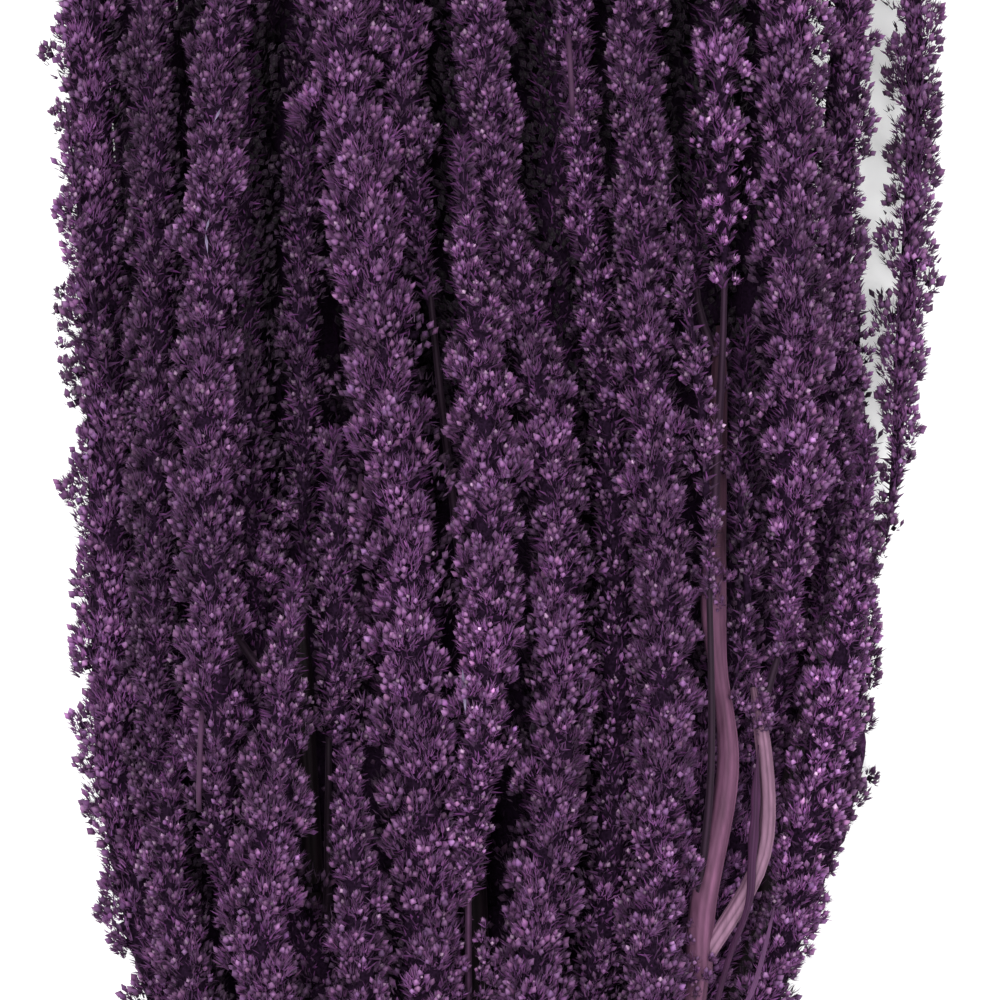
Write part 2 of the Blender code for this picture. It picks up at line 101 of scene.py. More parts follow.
# The tassels that show from above: radius, height, how loosely they keep their place, the limb that carries
# them, where their branch leaves it, then points (y, x) from the lowest flower to the tip.
UPPER = {
    "left_edge": (4.6, 12, 0.5, "main", -168, ((-123, -35), (-80, -58), (-40, -62), (0, -63), (80, -68),
        (118, -69))),
    "left_outer": (4.6, 23, 0.4, "main", -176, ((-133, -28), (-80, -52), (-40, -55), (40, -55.5),
        (140, -58))),
    "left_column": (6, 32, 0.2, "left", -106, ((-72, -44), (0, -47), (40, -46.5), (80, -43.8), (150, -41))),
    "left_low": (5.4, 30, 0.4, "left", -158, ((-129, -30), (-80, -48), (-56, -48), (-32, -46))),
    "left_bright": (6.2, 38, 0.1, "main", -180, ((-136, -21), (-80, -41.5), (-40, -36), (-10, -32.5))),
    "left_dark": (4.1, 22, 0.5, "left", -24, ((-14, -31), (19, -32), (41, -32.5), (75, -31), (104, -30))),
    "left_spear": (3.6, 33, 0.3, "left", -74, ((-40, -27), (-10, -27), (12, -28))),
    "low_spear": (5.2, 39, 0.3, "main", -176, ((-136, -11), (-80, -20), (-56, -20.6), (-39, -23))),
    "inner_column": (6.6, 35, 0.2, "main", -170, ((-129, -7), (-80, -11), (-40, -12), (0, -15),
        (40, -20.5), (80, -25.5), (165, -26))),
    "inner_top": (4.8, 31, 0.3, "main", -24, ((32, -11), (56, -15), (80, -15.6), (135, -14.5))),
    "centre_spear": (5.6, 41, 0.1, "main", -112, ((-62, -5), (-48, -2.5), (16, -1.6), (35, -3.5),
        (58, -7.5))),
    "centre_column": (6.4, 35, 0.15, "main", -184, ((-139, 4), (-80, 8), (-56, 8), (-40, 11), (-8, 10),
        (16, 8.6), (24, 6), (36, 1.2), (52, -1.5), (80, -2), (170, -2))),
    "right_inner": (4.8, 31, 0.3, "main", -168, ((-126, 11), (-80, 18.4), (0, 19.5), (24, 18.6),
        (36, 16.6), (54, 14.2), (80, 11.5), (132, 10))),
    "right_column": (6, 36, 0.15, "front", -150, ((-116, 17), (-80, 26), (-40, 26.5), (0, 24.8),
        (64, 22.8), (80, 22), (155, 21.4))),
    "right_spear": (3.4, 41.5, 0.3, "front", -92, ((-16, 33.4), (8, 30.8), (24, 28.8), (40, 26.8),
        (57, 24.3))),
    "fork_spear": (3.4, 31, 0.4, "front_left", -60, ((-34, 39.6), (-20, 39), (0, 39), (18, 38.6))),
    "beaded": (4.2, 34, 0.3, "front_left", -12, ((33.5, 36.5), (56, 35.8), (80, 34.8), (125, 34))),
    "right_wide": (6.6, 31, 0.15, "front_right", -34, ((-24, 42), (-8, 45.5), (20, 47), (56, 46.4),
        (80, 46), (160, 44))),
    "right_low": (5.2, 15, 0.5, "right", -146, ((-117, 22), (-80, 36), (-64, 41), (-40, 46), (-18, 49))),
    "right_back": (5, 20, 0.4, "right", -30, ((-20, 54), (13, 54), (54, 53.8), (68, 55), (80, 57.5),
        (120, 60))),
    "right_bright": (5.4, 24, 0.15, "right", -152, ((-123, 23), (-80, 41.5), (-64, 46), (-48, 50.5),
        (-32, 54.5), (-16, 57.5), (0, 59.5), (12, 58.6))),
    "right_sprig": (2.5, 12, 0.5, "right", -40, ((2, 59), (20, 58), (32, 58.5), (46, 59))),
    "right_edge": (4.4, 7, 0.3, "right", -56, ((-6, 64), (4, 63.6), (16, 63.4), (32, 65), (48, 67.4),
        (64, 67), (80, 66.4), (122, 66))),
    "left_sprig": (2.6, 20, 0.4, "left", -42, ((12, -65), (43, -67.5), (65, -70.5))),
    "lower_10": (5.4, None, 0.8, "right", -104, ((-72, 44), (-40, 51), (0, 54), (46, 54))),
}

# The tassels inside the head, and those it lies on, run straighter: radius, x half way up, limb, where the
# branch leaves it, lowest flower, tip.
INNER = (
    (5.8, -43, "left", -136, -105, 118),
    (5.8, -19, "left", -144, -88, 138),
    (5.8, -5, "main", -24, -8, 152),
    (5.6, 9, "main", -166, -107, 128),
    (5.8, 24, "front", -142, -92, 132),
    (5.4, 40, "right", -136, -109, 30),
    (5.4, 36, "front_left", 24, 34, 140),
)
LOWER = (
    (5.4, -56, "left", -165, -113, 98),
    (6.0, -44, "left", -160, -129, 126),
    (5.8, -31.5, "main", -186, -145, 108),
    (6.2, -19, "main", -178, -128, 142),
    (5.8, -6.5, "main", -188, -152, 120),
    (6.2, 6, "main", -180, -134, 150),
    (5.8, 18.5, "main", -190, -148, 112),
    (6.0, 31, "right", -144, -117, 136),
    (6.0, 43.5, "right", -150, -127, 104),
)
INNER_HEIGHT = 19.0
LOWER_HEIGHT = 6.0
LOWER_REST = 0.95
LOOSE = 0.8
# How far out an inner or lower tassel is, along its length.
FAN = ((0.0, 0.5), (0.12, 0.75), (0.3, 0.95), (0.5, 1.0), (1.0, 1.0))

# Tassels whose clusters stand apart like beads.
BEADED = ("beaded", "right_edge", "right_spear", "fork_spear", "left_sprig", "right_sprig")

Tassel = namedtuple("Tassel", "name radius height loose limb leave base tip points kind path")


def smooth(t):
    t = np.clip(t, 0.0, 1.0)
    return t * t * (3.0 - 2.0 * t)


def all_tassels():
    """Every tassel of the head, not settled yet. The first word of its name says where it lies."""
    table = [(name, radius, height, loose, limb, leave, points[0][0], points[-1][0], points)
             for name, (radius, height, loose, limb, leave, points) in UPPER.items()]
    for kind, height, layer in (("inner", INNER_HEIGHT, INNER), ("lower", None, LOWER)):
        for number, (radius, x, limb, leave, base, tip) in enumerate(layer, 1):
            points = tuple((base + share * (tip - base), out * x) for share, out in FAN)
            table.append((f"{kind}_{number}", radius, height, LOOSE, limb, leave, base, tip, points))
    return [Tassel(*row, kind=row[0].split("_")[0], path=None) for row in table]


def rows():
    return np.arange(LOWEST_ROW, HIGHEST_ROW + 0.1, ROW_STEP)


def limb_place(limb, y):
    """The middle (x, z) of a limb, and its radius, at the rows y."""
    foot, end, points = LIMBS[limb]
    ys, xs, zs = np.array(points, float).T
    radius = foot + (end - foot) * np.clip((y - ys[0]) / (ys[-1] - ys[0]), 0.0, 1.0)
    return np.stack([np.interp(y, ys, xs), np.interp(y, ys, zs)], axis=-1), radius


def flower_radius(tassel, y):
    """The tassel's outer radius at the rows y, narrower at its foot and drawn out to its tip."""
    length = tassel.tip - tassel.base
    foot = smooth((y - tassel.base) / min(FOOT_LENGTH, FOOT_MOST * length))
    tip = smooth((tassel.tip - y) / min(TIP_LENGTH, TIP_MOST * length))
    shares = np.minimum(FOOT_SHARE + (1.0 - FOOT_SHARE) * foot, TIP_SHARE + (1.0 - TIP_SHARE) * tip)
    return tassel.radius * shares


def planned_route(tassel, ys):
    """Where the tassel and its branch would like to be at the rows ys."""
    points = np.array(tassel.points, float)
    x = np.interp(ys, points[:, 0], points[:, 1])
    if tassel.height is None:
        z = LOWER_REST * flower_radius(tassel, ys)
    else:
        kept = 1.0 - THIN_BY * smooth((ys - THIN_FROM) / THIN_OVER)
        z = LOWER_HEIGHT + (tassel.height - LOWER_HEIGHT) * kept
    start, _ = limb_place(tassel.limb, np.array([float(tassel.leave)]))
    foot = np.array([np.interp(tassel.base, ys, x), np.interp(tassel.base, ys, z)])
    t = np.clip((ys - tassel.leave) / (tassel.base - tassel.leave), 0.0, 1.0)
    ease = (0.5 * t + 0.5 * smooth(t))[:, None]
    branch = start + (foot - start) * ease
    return np.where((ys < tassel.base)[:, None], branch, np.stack([x, z], axis=-1))


def stretch(places, alive):
    """How much wider a slanting tube cuts its row than an upright one."""
    slope = np.gradient(places, ROW_STEP, axis=1)
    slope = np.where(alive[..., None], slope, 0.0)
    return np.sqrt(1.0 + np.minimum((slope ** 2).sum(axis=-1), STEEPEST))


def push_apart(places, reach, others, others_reach, near, share):
    """Moves that take each tube off the others it is too close to in a row, by its share of the way."""
    offset = places[:, None] - others[None]
    distance = np.sqrt((offset ** 2).sum(axis=-1)) + 1e-9
    short = np.maximum(reach[:, None] + others_reach[None] + TASSEL_GAP - distance, 0.0)
    return (offset / distance[..., None] * np.where(near, short * share, 0.0)[..., None]).sum(axis=1)


def settle(tassels):
    """Lays the tassels clear of each other and of the limbs, and gives each of them its path."""
    ys = rows()
    wish = np.array([planned_route(tassel, ys) for tassel in tassels])
    base, leave, tip, loose = (np.array([[getattr(tassel, part)] for tassel in tassels])
                               for part in ("base", "leave", "tip", "loose"))
    alive = (ys > leave - ROW_STEP) & (ys < tip + ROW_STEP)
    flowers = alive & (ys > base - ROW_STEP)
    free = alive & (ys > leave + 0.5 * ROW_STEP)
    radius = np.where(flowers, [flower_radius(tassel, ys) for tassel in tassels], BRANCH_RADIUS)
    floor = np.where(flowers, radius - FLOOR_PRESS, BRANCH_RADIUS + BRANCH_CLEAR)
    limbs, limb_radius = (np.array(part) for part in zip(*(limb_place(limb, ys) for limb in LIMBS)))
    spans = [(points[0][0], points[-1][0]) for _, _, points in LIMBS.values()]
    limb_alive = np.array([(ys >= low) & (ys <= high + 0.5 * ROW_STEP) for low, high in spans])
    limb_reach = limb_radius * stretch(limbs, limb_alive)
    # Flowers keep clear of all other tubes, but branches may cross each other.
    near = alive[:, None] & alive[None] & (flowers[:, None] | flowers[None])
    near &= ~np.eye(len(tassels), dtype=bool)[..., None]
    near_limb = flowers[:, None] & limb_alive[None]
    share = loose[:, None] / (loose[:, None] + loose[None])
    inside = free[:, 1:-1] & alive[:, 2:] & alive[:, :-2]
    places = wish.copy()
    for turn in range(ROUNDS):
        last = turn >= ROUNDS - LAST_ROUNDS
        reach = radius * stretch(places, alive)
        move = push_apart(places, reach, places, reach, near, share)
        move += push_apart(places, reach, limbs, limb_reach, near_limb, 1.0)
        length = np.sqrt((move ** 2).sum(axis=-1, keepdims=True)) + 1e-9
        move *= PUSH * np.minimum(1.0, LONGEST_PUSH / length)
        if not last:
            move += PULL * (1.0 - loose)[..., None] * (wish - places)
        bend = 0.5 * (places[:, 2:] + places[:, :-2]) - places[:, 1:-1]
        move[:, 1:-1] += (LAST_STRAIGHTEN if last else STRAIGHTEN) * np.where(inside[..., None], bend, 0.0)
        places = np.where(free[..., None], places + move, places)
        places[..., 1] = np.where(free, np.maximum(places[..., 1], floor), places[..., 1])
    return [tassel._replace(path=(ys[own], *place[own].T))
            for tassel, place, own in zip(tassels, places, alive)]


def route(tassel, ys):
    """The points (x, y, z) of a settled tassel at the heights ys."""
    own, x, z = tassel.path
    return np.stack([np.interp(ys, own, x), ys, np.interp(ys, own, z)], axis=-1)


# The flowers.

GOLDEN_ANGLE = math.pi * (3.0 - math.sqrt(5.0))
# A random turn or phase is drawn from nought to this.
TURN = 6.3
# A cluster covers this many times its radius squared of its tassel's surface.
CLUSTER_SHARE = 3.2
# How far a cluster leans up along its tassel, and its radius beside the tassel's, with how it varies.
CLUSTER_LEAN = 0.45
CLUSTER_REACH = 0.38
CLUSTER_SIZES = (0.76, 1.24)
# No cluster is smaller than this, except on a tassel that is too thin for it.
SMALLEST_CLUSTER = 1.5
WIDEST_CLUSTER = 0.85
# How far from a cluster's axis its florets sit, and how uneven their angles and distances are.
FLORET_CONE = math.radians(100.0)
FLORET_JITTER = 0.12
FLORET_SIZES = (0.82, 1.14)
# How far a cluster's florets lean up along the head: everywhere, more at a tip, and in small clusters.
FLORET_LEAN = 0.75
TIP_LEAN = 0.9
TIP_LEAN_FROM, TIP_LEAN_OVER = 26.0, 24.0
SMALL_LEAN = 0.5
# How far its stem turns off at random.
FLORET_TURN = 0.30
# How far a floret points away from its cluster's middle, and not along with its neighbours.
FLORET_SPLAY = 0.5
# How far below the cluster's outside a floret's heart sits.
FLORET_DEPTH = 1.05
# How dark a cluster is round its foot beside its top: painted shade where its florets lie deeper.
RIM_SHADE = 0.62
# No flower is lower than this.
FLOOR_CLEAR = 0.03
# The core of a tassel beside its reach: thin where clusters stand apart, thick under the head.
CORE_SHARE = 0.50
BEADED_CORE = 0.26
LOWER_CORE = 0.70
CORE_SIDES = 8
CORE_RING = 4.0
CORE_FOOT = 7.0
# How thick its foot and its tip are beside the rest.
CORE_FOOT_SHARE, CORE_TIP_SHARE = 0.10, 0.3
# The cores of the lowest tassels show from beside and below, so they are lumpy and lighter there; on top
# they keep the core's painted shade.
LUMPY_SIDES = 11
LUMPY_RING = 2.2
# The bed of bracts on a core: how many to a square millimetre, and how far past its upper half.
BED_CROWD = 1.6
BED_PAST = 0.3
# How uneven a tassel is, and the waves of its lumps: their lengths, and how often they go round it.
UNEVEN = 0.34
LUMP_WAVES = ((11.0, 1), (17.0, -1), (7.5, 2), (9.0, 0), (6.3, -2))
# How far a tassel wanders beside its route.
WANDER = 0.8
WANDER_WAVES = (14.0, 23.0)
# How full a tassel is, and how much fuller at its sides. Those inside and under the head fill the space
# between the ones above them.
FULLNESS = {
    "inner": (1.08, 0.12), "lower": (1.12, 0.28), "right_low": (1.30, 0.0), "left_edge": (1.42, 0.0),
    "right_edge": (1.16, 0.0), "right_sprig": (1.2, 0.0), "left_outer": (1.05, 0.0), "beaded": (1.28, 0.0),
    "left_spear": (1.35, 0.0), "right_column": (0.94, 0.0), "right_inner": (0.90, 0.0),
    "centre_column": (0.90, 0.0), "right_back": (1.06, 0.0),
}
# Some are fuller along one part of their length: heights and shares.
WIDER = {
    "beaded": ((25, 1.8), (42, 1.7), (58, 1.15), (80, 1)),
    "left_spear": ((-60, 1.35), (-38, 1.2), (-20, 1)),
    "centre_spear": ((-62, 1.3), (-35, 1)),
    "low_spear": ((-74, 1), (-60, 1.35), (-46, 1.8), (-38, 1.5)),
    "centre_column": ((-50, 1.1), (-20, 1.08), (0, 1)),
    "right_inner": ((-60, 1.12), (-15, 1.1), (10, 1)),
}
# The clusters of the tassels along the edges are larger for their tassel.
REACHES = {"right_edge": 0.60, "left_edge": 0.46, "right_sprig": 0.50}
# The upper sides of these count as open to view, whatever lies over them.
ALWAYS_OPEN = ("right_low", "right_edge")
UPPER_SIDE, OPEN_SHARE = -0.2, 0.5
# The tassels in the middle of the head are slimmer towards their tips, where gaps open between them.
SLIM = ("left_column", "inner_column", "inner_top", "centre_spear", "centre_column", "right_inner",
        "right_column", "right_spear")
SLIMMER = 0.13
SLIM_FROM, SLIM_OVER = 10.0, 30.0
# How far to the right of its solid a tassel's flowers lie, by height.
ASIDE = {
    "right_edge": ((0, 1.6),),
    "left_spear": ((0, 1.2),),
    "centre_column": ((5, 0), (25, -1.1)),
    "right_column": ((5, 0), (25, -1.1)),
    "centre_spear": ((-62, -1.9), (-45, -1), (-28, 0), (0, 0.8)),
    "low_spear": ((-70, 0), (-56, -1), (-44, -1.3)),
    "inner_top": ((38, -0.6), (62, -2.2)),
    "right_bright": ((-100, 1.5), (-84, 2.2), (-70, 2.4), (-58, 1), (-40, 0)),
}
# This one is beaded in its solid, and its clusters are too crowded for that here.
CROWDED = ("right_edge",)

# By how open to view a cluster lies: its florets, how many of them have a bract, how many tepals each has
# and how broad they are, how many are closed, the cluster's hairs and buds, and whether it has a dark heart.
Detail = namedtuple("Detail", "florets bracts tepals broad closed hairs buds hearted")
OPEN = Detail(36, 17, 4, 1.0, 8, 4, 0.5, True)
BESIDE = Detail(14, 14, 0, 1.0, 5, 2, 0.6, True)
GLIMPSED = Detail(9, 9, 2, 1.5, 0, 1, 0.3, False)
HIDDEN = Detail(5, 0, 3, 1.5, 0, 0, 0.0, False)
# Each kind of blade: how far it spreads from its floret's stem, its lengths and widths, and the mean and the
# spread of how pale its tip is.
Blade = namedtuple("Blade", "spreads lengths widths pale")
BRACT = Blade((0.06, 0.45), (0.95, 1.65), (0.26, 0.46), (0.24, 0.09))
TEPAL = Blade((0.0, 0.55), (1.0, 1.90), (0.16, 0.30), (0.24, 0.09))
CLOSED = Blade((0.0, 0.25), (1.15, 1.80), (0.88, 1.36), (0.70, 0.20))
# Blades have their full size in clusters of the first radius, and in others between two shares of it.
FULL_BLADES = 2.4
BLADE_SCALES = (0.6, 1.12)
BLADE_POWER = 0.7
# How far from its floret's heart a blade starts.
BLADE_FOOT = 0.20
# How far a blade's shading follows the round form of its cluster, as a soft brush does.
SOFTNESS = 0.6
# The radius of a cluster's heart beside its own: a dark bead painted as the shade inside the cluster.
HEART_SHARE = 0.32
# The second material of a piece of flowers: its hearts and cores, painted dark as the shade inside clusters
# and tassels.
DARK = 1
# A cluster of this radius has all its florets.
BUSHY = 3.0
FEWEST_FLORETS, MOST_BUSHY = 5, 1.25
# How far below and above its middle the photo shows the head.
BESIDE_FROM = 92.0
# The share of free rays from which a cluster counts as open, or as glimpsed.
OPEN_FROM, GLIMPSED_FROM = 0.34, 0.08
RAYS = np.radians([-65.0, -40.0, -15.0, 15.0, 40.0, 65.0])
# How much of its neighbours' radius stops a ray, and a look from above, which leans a little to each side.
RAY_SHARE, VIEW_SHARE = 0.86, 0.8
VIEW_LEANS = (0.0, -0.2, 0.2)
# How far down a ray may point, and a cluster that still shows from above.
LOWEST_RAY, LOWEST_SEEN = -0.3, -0.25
# Where a ray starts, as a share of its tassel's radius.
RAY_START = 0.8

# Colours, linear: the painted shade of cores and hearts, a bract's foot in the cluster's shade, its middle,
# its tip, and the seeds and buds.
SHADED_CORE = np.array([0.0085, 0.0038, 0.0100])
SHADE = np.array([0.045, 0.0126, 0.0495])
PURPLE = np.array([0.070, 0.0168, 0.077])
PALE = np.array([0.206, 0.113, 0.212])
BUD = np.array([0.246, 0.160, 0.240])

# How light a tassel is beside the others, where it differs: partly its own colour, partly painted light and
# shade, lighter where a tassel lies in the light and darker where it lies in shade.
TASSEL_TONES_AND_LIGHT = {
    "left_edge": 1.28, "left_outer": 0.65, "left_dark": 0.60, "left_bright": 1.05, "left_column": 0.95,
    "right_bright": 1.65, "right_edge": 1.15, "right_wide": 1.20, "right_low": 1.30, "beaded": 1.95,
    "left_sprig": 1.0, "centre_spear": 1.25, "inner_column": 1.12, "right_inner": 1.28, "right_column": 1.0,
    "left_spear": 0.80, "right_back": 1.12,
}
# How light a cluster is where no light gets in, and the share of free rays that lights it fully.
DEEP_TONE = 0.24
LIT_SHARE = 0.55
# Painted shade: the tassels inside and under the head are darker towards the tips, where gaps open on them
# and show them in shade.
INSIDE_SHADE = 0.14
INSIDE_FROM, INSIDE_OVER = -10.0, 42.0


def unit(vectors):
    return vectors / np.maximum(np.linalg.norm(vectors, axis=-1, keepdims=True), 1e-9)


def around(axis, angle, turn):
    """Unit vectors at an angle off the axis, turned about it."""
    helper = np.where(np.abs(axis[..., 2:3]) < 0.9, [0.0, 0.0, 1.0], [1.0, 0.0, 0.0])
    first = unit(np.cross(axis, helper))
    second = np.cross(axis, first)
    off = np.cos(turn)[..., None] * first + np.sin(turn)[..., None] * second
    return np.cos(angle)[..., None] * axis + np.sin(angle)[..., None] * off


# Two points and a ring of four between them, for beads and closed florets.
OCTAHEDRON = [face for k in range(4) for face in ((0, 1 + (k + 1) % 4, 1 + k), (5, 1 + k, 1 + (k + 1) % 4))]


class Faces:
    """Collects the triangles of a piece, with the colour and the shading normal of each of their points."""

    def __init__(self):
        self.points, self.triangles, self.colours, self.normals, self.kinds = [], [], [], [], []
        self.count = 0

    def add(self, points, triangles, colours, kind=0, normals=None):
        """Many equal shapes: points and colours (shapes, points, 3), triangles those of one shape, and a
        shading normal for each shape where its own isn't wanted."""
        copies, per = points.shape[:2]
        normals = np.zeros((copies, 3)) if normals is None else normals
        self.normals.append(np.repeat(normals, per, axis=0))
        self.kinds.append(np.full(copies * len(triangles), kind))
        starts = self.count + per * np.arange(copies)
        self.points.append(points.reshape(-1, 3))
        self.colours.append(np.broadcast_to(colours, points.shape).reshape(-1, 3))
        self.triangles.append((starts[:, None, None] + np.asarray(triangles)[None]).reshape(-1, 3))
        self.count += copies * per

    def piece(self, name, materials, node):
        """Makes the mesh, in metres, and hands it to the frame."""
        points = (np.concatenate(self.points) + HEAD_SHIFT) * MM
        points[:, 2] = np.maximum(points[:, 2], FLOOR_CLEAR * MM)
        mesh = bpy.data.meshes.new(name)
        mesh.from_pydata(points.tolist(), [], np.concatenate(self.triangles).tolist(), shade_flat=False)
        mesh.polygons.foreach_set("material_index", np.concatenate(self.kinds).astype(np.int32))
        normals = np.concatenate(self.normals)
        if normals.any():
            mesh.normals_split_custom_set_from_vertices(normals.tolist())
        colours = np.concatenate(self.colours)
        layer = mesh.color_attributes.new("tone", "FLOAT_COLOR", "POINT")
        colours = np.hstack([colours, np.ones((len(colours), 1))])
        layer.data.foreach_set("color", colours.astype(np.float32).ravel())
        for material in materials:
            mesh.materials.append(material)
        thing = bpy.data.objects.new(name, mesh)
        bpy.context.scene.collection.objects.link(thing)
        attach(thing, "root")
        if node:
            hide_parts(node)


def soften(side, normal, outward):
    """Turns a blade's face outward, and gives the normal it is shaded by."""
    turn = np.where((normal * outward).sum(axis=-1, keepdims=True) < 0.0, -1.0, 1.0)
    return side * turn, unit(SOFTNESS * outward + (1.0 - SOFTNESS) * turn * normal)


def add_bracts(faces, foot, direction, facing, outward, length, width, colours):
    """Pointed bracts, keeled along their middle: two triangles each."""
    side = unit(np.cross(direction, facing))
    normal = np.cross(side, direction)
    belly = foot + direction * (0.42 * length)[:, None] - normal * (0.28 * width)[:, None]
    tip = foot + direction * length[:, None] - normal * (0.08 * length)[:, None]
    side, normal = soften(side, normal, outward)
    half = side * (0.5 * width)[:, None]
    points = np.stack([foot, belly + half, tip, belly - half], axis=1)
    dark, middle, light = colours
    faces.add(points, [(0, 1, 2), (0, 2, 3)], np.stack([dark, middle, light, middle], axis=1), 0, normal)


def add_tepals(faces, foot, direction, facing, outward, length, width, colours):
    """Narrow pointed tepals: one triangle each."""
    side = unit(np.cross(direction, facing))
    side, normal = soften(side, np.cross(direction, side), outward)
    half = side * (0.5 * width)[:, None]
    points = np.stack([foot + half, foot - half, foot + direction * length[:, None]], axis=1)
    dark, middle, light = colours
    colours = np.stack([0.5 * (dark + middle), 0.5 * (dark + middle), light], axis=1)
    faces.add(points, [(0, 1, 2)], colours, 0, normal)


def add_closed(faces, foot, direction, facing, outward, length, width, colours):
    """Closed florets: four keeled tepals that bulge out and meet in a pale point, two triangles each. They
    are shaded as they are shaped, so outward isn't used."""
    side = unit(np.cross(direction, facing))
    across = np.cross(direction, side)
    half, base = (0.5 * width)[:, None], foot + direction * (0.60 * length)[:, None]
    ring = [base + half * out for out in (side, across, -side, -across)]
    points = np.stack([foot, *ring, foot + direction * (1.12 * length)[:, None]], axis=1)
    dark, middle, light = colours
    rim = 0.50 * middle + 0.35 * light
    faces.add(points, OCTAHEDRON, np.stack([dark] + [rim] * 4 + [light], axis=1))


def add_beads(faces, middle, axis, radius, colour, kind=0):
    """Small round bodies of eight triangles: seeds, buds and the hearts of clusters."""
    quarter = np.full(len(axis), math.pi / 2)
    ring = [middle + around(axis, quarter, np.full(len(axis), turn)) * (0.85 * radius)[:, None]
            for turn in np.arange(4) * math.pi / 2]
    points = [middle - axis * radius[:, None], *ring, middle + axis * (1.15 * radius)[:, None]]
    # Painted shade at the inner point and painted light at the outer one.
    colours = np.stack([0.4 * colour] + [0.75 * colour] * 4 + [1.2 * colour], axis=1)
    faces.add(np.stack(points, axis=1), OCTAHEDRON, colours, kind)


def add_hairs(faces, foot, direction, length, width, colour):
    """Fine hairs, one triangle each."""
    side = unit(np.cross(direction, np.roll(direction, 1, axis=-1) + 0.1))
    half = side * (0.5 * width)[:, None]
    tip = foot + direction * length[:, None]
    points = np.stack([foot + half, foot - half, tip], axis=1)
    # Painted shade: a hair's foot, inside the cluster, is half as light as its tip.
    faces.add(points, [(0, 1, 2)], np.stack([0.5 * colour, 0.5 * colour, colour], axis=1))


Clusters = namedtuple("Clusters", "middles axes aheads leans sizes tones")


def pick(clusters, chosen):
    return Clusters(*(array[chosen] for array in clusters))


def small_clusters(middles, axes, sizes, tones):
    """Clusters that all lean up along the head."""
    count = len(middles)
    aheads = np.tile([0.0, 1.0, 0.0], (count, 1))
    return Clusters(middles, unit(axes), aheads, np.full(count, SMALL_LEAN), sizes, tones)


def add_blades(faces, add, blade, per, broad, clusters, stems, hearts, tones, draw):
    """The bracts or tepals of every floret, spread about its stem."""
    shape = (*stems.shape[:2], per)
    stem = stems[:, :, None] + np.zeros((*shape, 1))
    direction = around(stem, draw.uniform(*blade.spreads, shape), draw.uniform(0.0, math.tau, shape))
    facing = unit(direction - stem * (direction * stem).sum(axis=-1, keepdims=True))
    scale = np.clip(clusters.sizes / FULL_BLADES, *BLADE_SCALES)[:, None, None] ** BLADE_POWER
    foot = hearts[:, :, None] + facing * (BLADE_FOOT * scale)[..., None]
    length = scale * draw.uniform(*blade.lengths, shape)
    width = broad * scale * draw.uniform(*blade.widths, shape)
    tone = (tones[..., None] * np.exp(draw.normal(0.0, 0.09, shape)))[..., None]
    pale = np.clip(draw.normal(*blade.pale, shape), 0.0, 1.3)[..., None]
    warm = 1.0 + draw.normal(0.0, 0.03, shape)[..., None] * np.array([1.0, 0.2, -0.8])
    dark = SHADE * tone * warm
    middle = PURPLE * (0.70 + 0.60 * pale) * tone * warm
    light = (PURPLE + (PALE - PURPLE) * pale) * tone * warm
    outward = clusters.axes[:, None, None] + np.zeros((*shape, 1))
    flat = [array.reshape(-1, 3) for array in (foot, direction, facing, outward)]
    colours = [array.reshape(-1, 3) for array in (dark, middle, light)]
    add(faces, *flat, length.ravel(), width.ravel(), colours)


def add_clusters(faces, clusters, detail, draw):
    """Flower clusters: florets set all round each one's heart, each a brush of bracts and tepals."""
    count = len(clusters.middles)
    if count < 2 or clusters.sizes.min() == clusters.sizes.max():
        if count:
            add_equal_clusters(faces, clusters, detail, draw)
        return
    # Small clusters have fewer florets than large ones.
    classes = np.searchsorted(np.quantile(clusters.sizes, [0.25, 0.5, 0.75]), clusters.sizes)
    for number in range(4):
        chosen = pick(clusters, classes == number)
        if len(chosen.sizes):
            share = min(MOST_BUSHY, float(chosen.sizes.mean() / BUSHY) ** 1.5)
            bracts, closed = round(detail.bracts * share), round(detail.closed * share)
            florets = max(FEWEST_FLORETS, bracts, round(detail.florets * share))
            some = detail._replace(florets=florets, bracts=bracts, closed=closed)
            add_equal_clusters(faces, chosen, some, draw)


